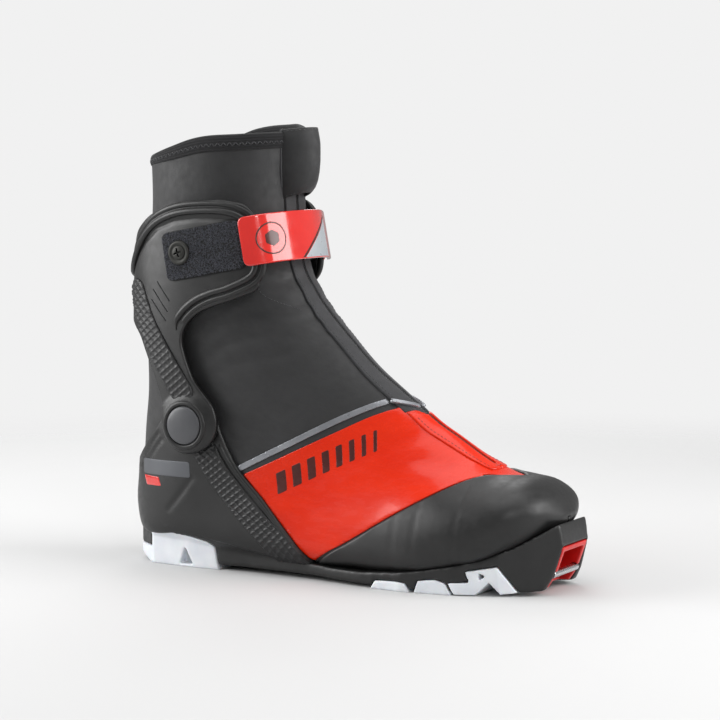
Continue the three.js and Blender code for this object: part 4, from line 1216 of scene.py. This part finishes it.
class Track(Sheet):
    """The strap's inner face: u runs down it in millimetres from its upper edge, w along it."""

    def __init__(self):
        line = spline(TRACK, 0.5)
        length = lengths(line)
        self.half = length[-1] / 2
        plan = pick(np.linspace(0, length[-1], 401), length, line)
        rises = np.linspace(TRACK_REACH, -TRACK_REACH, 2 * TRACK_REACH + 1)
        side = TRACK_CENTRE + TRACK_AHEAD * plan[None, :, :1] + TRACK_UP * rises[:, None, None]
        across = np.broadcast_to(plan[:, 1], side.shape[:2])
        super().__init__(np.stack([side[..., 0], across, side[..., 1]], -1), (1, 0, 0))

    def polygon(self, corners, radius, spacing=0.8):
        """A rounded polygon of corners: how far along from the strap's hinge, how far up from its middle."""
        line = rounded(corners, radius, spacing)
        return pairs(TRACK_REACH - line[:, 1], line[:, 0] / self.half - 1)

    def rectangle(self, start, stop, low, high, radius):
        return self.polygon([(start, low), (stop, low), (stop, high), (start, high)], radius, 1.0)


track = Track()


def strap():
    """The strap round the ankle, with its printed corner, its plain ring mark and the pad that grips."""
    long = 2 * track.half
    outline = track.rectangle(0.3, long - 0.2, -13.8, 13.6, 4.2)
    obj = patch("strap_band", track, outline, 2.0, STRAP_RED, "strap", 1.5, 0.75, closed=True)
    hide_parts("strap")
    front = long * 0.36 + 18
    corner = track.polygon([(front - 20, -13.1), (front + 10, -13.1), (front - 20, 8.5)], 0.8)
    obj = patch("strap_corner_film", track, corner, 0.14, PALE, "strap", 1.5, 0.1, 1.97, sink=0.1)
    corners = [(front + 10.6, -13.1), (front + 13, -13.1), (front - 20, 10.6), (front - 20, 9.0)]
    edge = track.polygon(corners, 0.5)
    obj = patch("strap_corner_line", track, edge, 0.16, DARK_PRINT, "strap", 1.5, 0.1, 1.97, sink=0.1)
    middle = long - 17.5
    angle = np.linspace(0, 2 * np.pi, 72, endpoint=False)
    along, down = middle + 8.6 * np.cos(angle), TRACK_REACH + 0.3 - 8.6 * np.sin(angle)
    ring = pairs(down, along / track.half - 1)
    points, profile = track.at(ring, 2.0), circle(0.42, 8, 0.4)
    obj = sweep("strap_mark_ring", points, track.out(ring), profile, DARK_PRINT, "strap", closed=True)
    nut = np.radians(np.arange(6) * 60 + 30)
    nut = track.polygon(pairs(middle + 4.6 * np.cos(nut), -0.3 + 4.6 * np.sin(nut)), 0.6)
    obj = patch("strap_mark", track, nut, 0.2, DARK_PRINT, "strap", 1.5, 0.1, 1.95, sink=0.1)
    pad = track.rectangle(long * 0.79, long - 1.5, -10, 10, 2)
    obj = patch("strap_loop_skin", track, pad, 1.0, HOOKS, "strap", 2.0, 0.4, -1.3, closed=True)
    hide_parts("strap_loop_pad")


def plate(ahead, low, high, radius, side):
    """A rounded rectangle on the cuff, square to the strap."""
    corners = [
        TRACK_CENTRE + TRACK_AHEAD * a + TRACK_UP * r
        for a, r in ((ahead[0], low), (ahead[1], low), (ahead[1], high), (ahead[0], high))
    ]
    return shell.find(rounded(corners, radius, 1.0), side)


def hooks():
    """The strap's patch of hooks on the lateral side and its plain anchor plate on the medial side."""
    outline = plate((-22, 29), -14, 13.4, 4.5, LATERAL)
    obj = patch("hook_patch_base", shell, outline, 1.5, HOOKS, "cuff", 1.3, 0.7, 2.55)
    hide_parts("hook_patch")
    low, high = outline.min(0), outline.max(0)
    spots = rng.uniform(low, high, (5200, 2))
    spots = spots[inside(outline, spots)]
    ground = shell.at(spots)
    edge = gap_to(shell.at(outline), ground)
    screw = np.hypot(ground[:, 0] - STRAP_SCREW[0], ground[:, 2] - STRAP_SCREW[1])
    spots = spots[(edge > 0.5) & (screw > 7.2)]
    turn = rng.uniform(0, np.pi, len(spots))
    tip = rng.uniform(-0.5, 0.5, (len(spots), 3))
    out = shell.out(spots)
    along = np.stack([np.cos(turn), 0.3 * np.sin(turn * 3), np.sin(turn)], -1)
    centres = shell.at(spots, 4.1 + rng.uniform(-0.1, 0.25, len(spots)))
    # The hooks are drawn lighter than the black patch as painted glints.
    obj = beads("hook_patch_hooks", centres, along + tip, out + tip, (1.3, 0.26, 0.45), HOOK_GLINT, "cuff")
    outline = plate((-22, 29.7), -14, 13.4, 4, MEDIAL)
    obj = patch("strap_anchor_skin", shell, outline, 3.3, RED_PLASTIC, "cuff", 1.4, 1.0, CUFF_WALL)
    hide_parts("strap_anchor")


WASHER = [
    (3.0, 0.1), (6.5, 0.1), (6.8, 0.35), (6.7, 0.8), (6.2, 1.15), (5.5, 1.25), (4.8, 1.0), (4.3, 0.85),
    (3.6, 0.75), (3.0, 0.5),
]  # fmt: skip
SCREW_HEAD = [
    (0.01, -1.2), (3.2, -1.2), (4.0, 0.5), (4.05, 0.85), (3.8, 1.2), (3.0, 1.5), (1.8, 1.68), (0.01, 1.75),
]  # fmt: skip
BOX_FACES = [(0, 1, 2, 3), (7, 6, 5, 4), (0, 4, 5, 1), (1, 5, 6, 2), (2, 6, 7, 3), (3, 7, 4, 0)]


def slotted(obj, side, face, turn):
    """Cuts a straight slot at that angle into a screw's head."""
    c, s = math.cos(turn), math.sin(turn)
    x, z = STRAP_SCREW
    long, wide = 2.5, 0.5
    corners = [
        (x + a * long * c - b * wide * s, -side * (face + d), z + a * long * s + b * wide * c)
        for d in (-0.1, 3)
        for a, b in ((-1, -1), (1, -1), (1, 1), (-1, 1))
    ]
    cutter = make("cutter", corners, BOX_FACES, SCREW, smooth=False)
    flip_outward(cutter)
    modified(obj, "BOOLEAN", operation="DIFFERENCE", object=cutter, solver="EXACT")
    bpy.data.objects.remove(cutter)


def screws():
    """The cross-headed screw and the dished washer that hold the strap on each side."""
    for side, name, face in ((LATERAL, "lateral", 46.6), (MEDIAL, "medial", 48.4)):
        ring = [(r, face + h - 0.6) for r, h in WASHER]
        obj = turned("strap_washer_cup_" + name, STRAP_SCREW, -side, ring + ring[:1], SCREW, "cuff")
        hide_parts("strap_washer_" + name)
        head = [(r, face + h - 0.35) for r, h in SCREW_HEAD]
        obj = turned("strap_screw_head_" + name, STRAP_SCREW, -side, head, SCREW, "cuff", 48)
        for turn in (0.3, 0.3 + math.pi / 2):
            slotted(obj, side, face, turn)
        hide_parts("strap_screw_" + name)


strap()
hooks()
screws()

# ---------------------------------------------------------------- rounded CAD shapes


def reshaped(node, ending, voxel, rounds, material):
    """A copy of the CAD node's shape with its edges and corners rounded over."""
    obj = bpy.data.objects.new(node + ending, frame["nodes"][node].data.copy())
    bpy.context.scene.collection.objects.link(obj)
    obj.data.materials.clear()
    obj.data.materials.append(material)
    modified(obj, "REMESH", mode="VOXEL", voxel_size=voxel / 1000, use_smooth_shade=True)
    return modified(obj, "SMOOTH", factor=0.5, iterations=rounds)


def softened(node, voxel, rounds, material, body):
    """A rounded piece in place of the CAD node."""
    obj = reshaped(node, "_skin", voxel, rounds, material)
    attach(obj, body)
    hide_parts(node)
    return obj


def sole():
    """The outsole, its white treads, the toe's red insert and the steel bar."""
    softened("outsole", 0.8, 14, SOLE, "foot")
    for node in ("heel_tread", "front_tread", "mid_tread", "ball_tread"):
        softened(node, 0.6, 5, WHITE, "foot")
    softened("toe_insert", 0.4, 5, RED_PLASTIC, "foot")
    softened("toe_bar", 0.25, 4, STEEL, "foot")


sole()

# ---------------------------------------------------------------- collar, hood and padding


# How far out from the bootie and how far down the tape, for each point round the tape's section.
BINDING = [
    (0.4, 1.0), (0.6, 0.92), (0.75, 0.6), (0.7, 0.2), (0.5, 0.02), (0.1, -0.1), (-1.2, -0.16), (-2.6, -0.1),
    (-3.5, 0.02), (-3.95, 0.25), (-4.0, 0.6), (-3.9, 0.92), (-3.6, 1.0), (-2.0, 0.85), (-0.6, 0.85),
]  # fmt: skip


def binding():
    """The knitted tape that wraps the collar's edge, with its zigzag seam."""
    columns, full = 288, 8.0
    w = np.linspace(-1, 1, columns, endpoint=False)
    top = rim_station(w)
    deep = full - 3.4 * smoothstep(0.5, 0.85, np.abs(w))
    down = (rim_station(w, full) - top) * deep / full
    rows = []
    for out, share in BINDING:
        points = upper.at(pairs(top + down * max(share, 0), w), out)
        points[:, 2] += 7 * max(-share, 0)
        rows.append(points)
    grid = np.stack(rows, 1)
    across = np.cumsum(np.linalg.norm(np.diff(grid[0], axis=0, prepend=grid[0, :1]), axis=1))
    uv = pairs(lengths(grid[:, 0])[:, None], across).reshape(-1, 2) / 10
    obj = make("collar_binding_knit", grid, ring_faces(columns, len(BINDING)), KNIT, "cuff", uv)
    flip_outward(obj)
    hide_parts("collar_binding")
    line = pairs(top + down * 0.55, w)
    line = np.vstack([line, line[:1] + [0, 2]])
    fine = upper.at(line, 0.8)
    length = lengths(fine)
    at = np.arange(0.8, length[-1], 1.7)
    place = pick(at, length, line)
    along = pick(at, length, np.gradient(fine, axis=0))
    lean = np.where(np.arange(len(at)) % 2, 0.85, -0.85)
    centres, out = upper.at(place, 0.78), upper.out(place)
    obj = beads("binding_zigzag", centres, along, out, (2.5, 0.5, 0.45), THREAD, "cuff", lean)


def hood():
    """The cap of softshell in front of the collar that covers the zip slider."""
    columns, rows = 121, 41
    angle = np.radians(np.linspace(88, -88, columns))
    low = 207.4 + 5.4 * np.cos(angle)
    share = np.linspace(0, 1, rows)[::-1, None]
    z = low + (250.4 - 1.2 * np.abs(np.sin(angle)) ** 3 - low) * share
    heights = [208, 212, 216, 220, 225, 231, 241, 251]
    reach = np.interp(z, heights, [6, 11.5, 15.6, 17.4, 18.3, 18.6, 18.2, 16.6])
    half = 13.2 - 1.4 * smoothstep(228, 209, z) - 1.1 * smoothstep(243, 251.5, z)
    crease = 0.4 * np.sin((z - 231) / 7) * np.cos(angle)
    points = np.stack([-41 + (reach + crease) * np.cos(angle), -half * np.sin(angle), z], -1)
    inner = Sheet(points, np.stack([np.cos(angle), -np.sin(angle), 0 * angle], -1)[None])
    w = np.linspace(-0.98, 0.98, 90)
    v = np.linspace(0.6, rows - 1.6, 40)
    outline = np.vstack([
        pairs(0.3, w), pairs(v, 0.98), pairs(rows - 1.3, w[::-1]), pairs(v[::-1], -0.98),
    ])  # fmt: skip
    obj = patch("front_hood_skin", inner, outline, 1.3, SOFT, "hood", 1.1, 0.65, -1.3, closed=True)
    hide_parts("front_hood")
    for name, row in (("top", 1.6), ("low", rows - 3.0)):
        place = pairs(row, np.linspace(-0.95, 0.95, 110))
        obj = stitched("hood_stitch_" + name, inner, place, 0.02, THREAD_DARK, "hood", 2.4, (1.6, 0.4, 0.3))
    for side, name in SIDES:
        place = pairs(np.linspace(0.8, rows - 1.8, 70), side * 0.955)
        points, out = inner.at(place, 0.1), inner.out(place)
        obj = sweep("hood_piping_" + name, points, out, circle(0.75, 10), FACING, "hood")


binding()
hood()


def inflated(obj, cap, voxel, pressure=4.0):
    """Fills a pad: remeshed, blown up as cloth, held to cap millimetres from where it began, and smoothed."""
    modified(obj, "REMESH", mode="VOXEL", voxel_size=voxel / 1000, use_smooth_shade=True)
    start = np.array([v.co for v in obj.data.vertices])
    cloth = obj.modifiers.new("cloth", "CLOTH")
    cloth.settings.use_pressure = True
    cloth.settings.uniform_pressure_force = pressure
    cloth.settings.effector_weights.gravity = 0
    scene = bpy.context.scene
    for step in range(1, 21):
        scene.frame_set(step)
    graph = bpy.context.evaluated_depsgraph_get()
    swollen = bpy.data.meshes.new_from_object(obj.evaluated_get(graph))
    obj.modifiers.remove(cloth)
    end = np.array([v.co for v in swollen.vertices])
    bpy.data.meshes.remove(swollen)
    scene.frame_set(1)
    move = end - start
    far = np.linalg.norm(move, axis=1, keepdims=True)
    end = start + move * np.minimum(1, cap / 1000 / np.maximum(far, 1e-9))
    obj.data.vertices.foreach_set("co", end.ravel())
    modified(obj, "SMOOTH", factor=0.5, iterations=2)
    modified(obj, "SUBSURF", levels=1)


# How deep under the bootie's face and how far down the roll, for each point round the roll's section.
ROLL = [
    (-5.2, 0.06), (-6.8, 0.0), (-8.4, 0.06), (-8.9, 0.5), (-8.4, 0.94), (-6.8, 1.0), (-5.2, 0.94),
    (-4.7, 0.5),
]  # fmt: skip


def padding():
    """The padded roll inside the collar, the tongue under the zip and the insole."""
    columns = 96
    w = np.linspace(-1, 1, columns, endpoint=False)
    top = rim_station(w, 11.0)
    low = rim_station(w, 46.0)
    rows = [upper.at(pairs(top + (low - top) * share, w), depth) for depth, share in ROLL]
    obj = make("collar_padding", np.stack(rows, 1), ring_faces(columns, len(ROLL)), LINING)
    flip_outward(obj)
    inflated(obj, 1.2, 3.5)
    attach(obj, "cuff")
    obj = flexes(reshaped("tongue", "_pad", 1.2, 3, LINING))
    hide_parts("tongue")
    obj = reshaped("insole", "_pad", 1.6, 6, LINING)
    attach(obj, "foot")
    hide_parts("insole")


padding()


def hardware():
    """The zip's slider and pull, the lace and its stays, and the finishes of the CAD nodes carried over."""
    softened("zip_slider", 0.22, 4, SCREW, "zip_slider")
    softened("zip_pull", 0.2, 3, SCREW, "zip_pull")
    for _, side in SIDES:
        softened("lace_stay_" + side, 0.7, 3, FACING, "foot")
        for node, material in (("pivot_rivet_", STEEL), ("pivot_washer_", WHITE), ("strap_nut_", SCREW)):
            frame["nodes"][node + side].data.materials[0] = material
    frame["nodes"]["lasting_board"].data.materials[0] = BOARD
    softened("lace", 0.5, 2, LACE, "foot")


hardware()


def labels():
    """The plain plate and the red tab low on the counter's sides."""
    for side, name in SIDES:
        corners = [(-120.4, 60.6), (-85.0, 61.4), (-84.6, 52.4), (-119.8, 51.9)]
        outline = upper.find(rounded(corners, 1.6, 0.8), side)
        obj = patch("heel_plate_" + name, upper, outline, 0.35, LABEL, "foot", 1.3, 0.3, 2.75)
        corners = [(-119.4, 51.2), (-107, 51.0), (-105.2, 46.0), (-116.8, 45.6)]
        outline = upper.find(rounded(corners, 0.7, 0.6), side)
        obj = patch("heel_tab_" + name, upper, outline, 0.35, STRAP_RED, "foot", 1.3, 0.3, 2.7)


labels()


def back_tape():
    """The seam tape up the collar's back, with a row of stitches down each side of it."""
    top = rim_station(np.array([0.999]), 9.0)[0]
    line = pairs(np.linspace(top, 6.2, 90), 1.0)
    obj = flexes(band("back_tape", upper, line, 13, 0.5, FACING, None, 0.3))
    for shift, name in ((0.034, "medial"), (-0.034, "lateral")):
        edge = line + [0, shift]
        obj = stitched("back_stitch_" + name, upper, edge, 0.55, THREAD_DARK, None, 2.6, (1.8, 0.45, 0.35))
        flexes(obj)


back_tape()


def side_seam():
    """The stitched seam that runs on each side from under the wing to the zip facing."""
    for side, name in SIDES:
        line = [(-47, 162), (-42.4, 156.5), (-36, 153), (-30, 150.3), (-24, 147.8)]
        place = drawn(upper.find(line, side), 1.2)
        obj = flexes(stitched("side_seam_" + name, upper, place, 0.05, THREAD, None, 1.9, (1.5, 0.4, 0.3)))


side_seam()


# ---------------------------------------------------------------- studio


TARGET = np.array((4.0, 0, 120.0))  # what the camera and the lamps look at, in the design frame
# Name, offset from the target, size in metres and power of each lamp.
LAMPS = (
    ("left", (-950, -480, 380), 0.8, 12),
    ("right", (980, 200, 380), 0.8, 11),
    ("front", (690, -780, 420), 0.24, 1.8),
    ("top", (40, -60, 1100), 1.1, 8),
    ("rear", (-500, 700, 600), 0.6, 4),
)


def aimed(name, data, offset):
    """A camera or a lamp that looks at the target from that offset."""
    obj = bpy.data.objects.new(name, data)
    obj.location = ((TARGET + np.array(offset) + SHIFT) / 1000).tolist()
    obj.rotation_euler = Vector(list(offset)).to_track_quat("Z", "Y").to_euler()
    bpy.context.scene.collection.objects.link(obj)
    return obj


def camera():
    turn, tilt, distance = math.radians(28), math.radians(5), 1400
    back = [math.sin(turn) * math.cos(tilt), -math.cos(turn) * math.cos(tilt), math.sin(tilt)]
    data = bpy.data.cameras.new("camera")
    data.lens, data.sensor_width = 125, 36
    bpy.context.scene.camera = aimed("camera", data, np.array(back) * distance)


def world():
    """A pale backdrop that gives less light than it shows."""
    bpy.context.scene.view_settings.view_transform = "Standard"
    sky = bpy.data.worlds.new("studio")
    sky.use_nodes = True
    nodes, links = sky.node_tree.nodes, sky.node_tree.links
    background = nodes["Background"]
    background.inputs["Color"].default_value = (*linear(241, 241, 241), 1)
    path = nodes.new("ShaderNodeLightPath")
    strength = nodes.new("ShaderNodeMapRange")
    strength.inputs["To Min"].default_value = 0.38
    strength.inputs["To Max"].default_value = 1.0
    links.new(path.outputs["Is Camera Ray"], strength.inputs["Value"])
    links.new(strength.outputs["Result"], background.inputs["Strength"])
    bpy.context.scene.world = sky


def lamps():
    for name, offset, size, power in LAMPS:
        light = bpy.data.lights.new(name, "AREA")
        light.size, light.energy = size, power
        aimed(name, light, offset)


def floor():
    """A white disc that fades out into the backdrop."""
    radius, corners = 900, 96
    f = Finish("floor_white", (198, 198, 198), 0.9)
    shrunk = f.node("ShaderNodeMapping", {"Vector": f.place, "Scale": (1000 / radius,) * 3})
    rings = f.node("ShaderNodeTexGradient", {"Vector": shrunk.outputs[0]}, gradient_type="SPHERICAL")
    inputs = {"Value": rings.outputs["Fac"], "From Min": 0.02, "From Max": 0.5}
    fade = f.node("ShaderNodeMapRange", inputs, interpolation_type="SMOOTHSTEP")
    f.links.new(fade.outputs["Result"], f.shader.inputs["Alpha"])
    angle = np.linspace(0, 2 * np.pi, corners, endpoint=False)
    disc = np.stack([radius * np.cos(angle), radius * np.sin(angle), 0 * angle], -1)
    obj = make("floor", disc - SHIFT, [range(corners)], f.material, smooth=False)


camera()
world()
lamps()
floor()
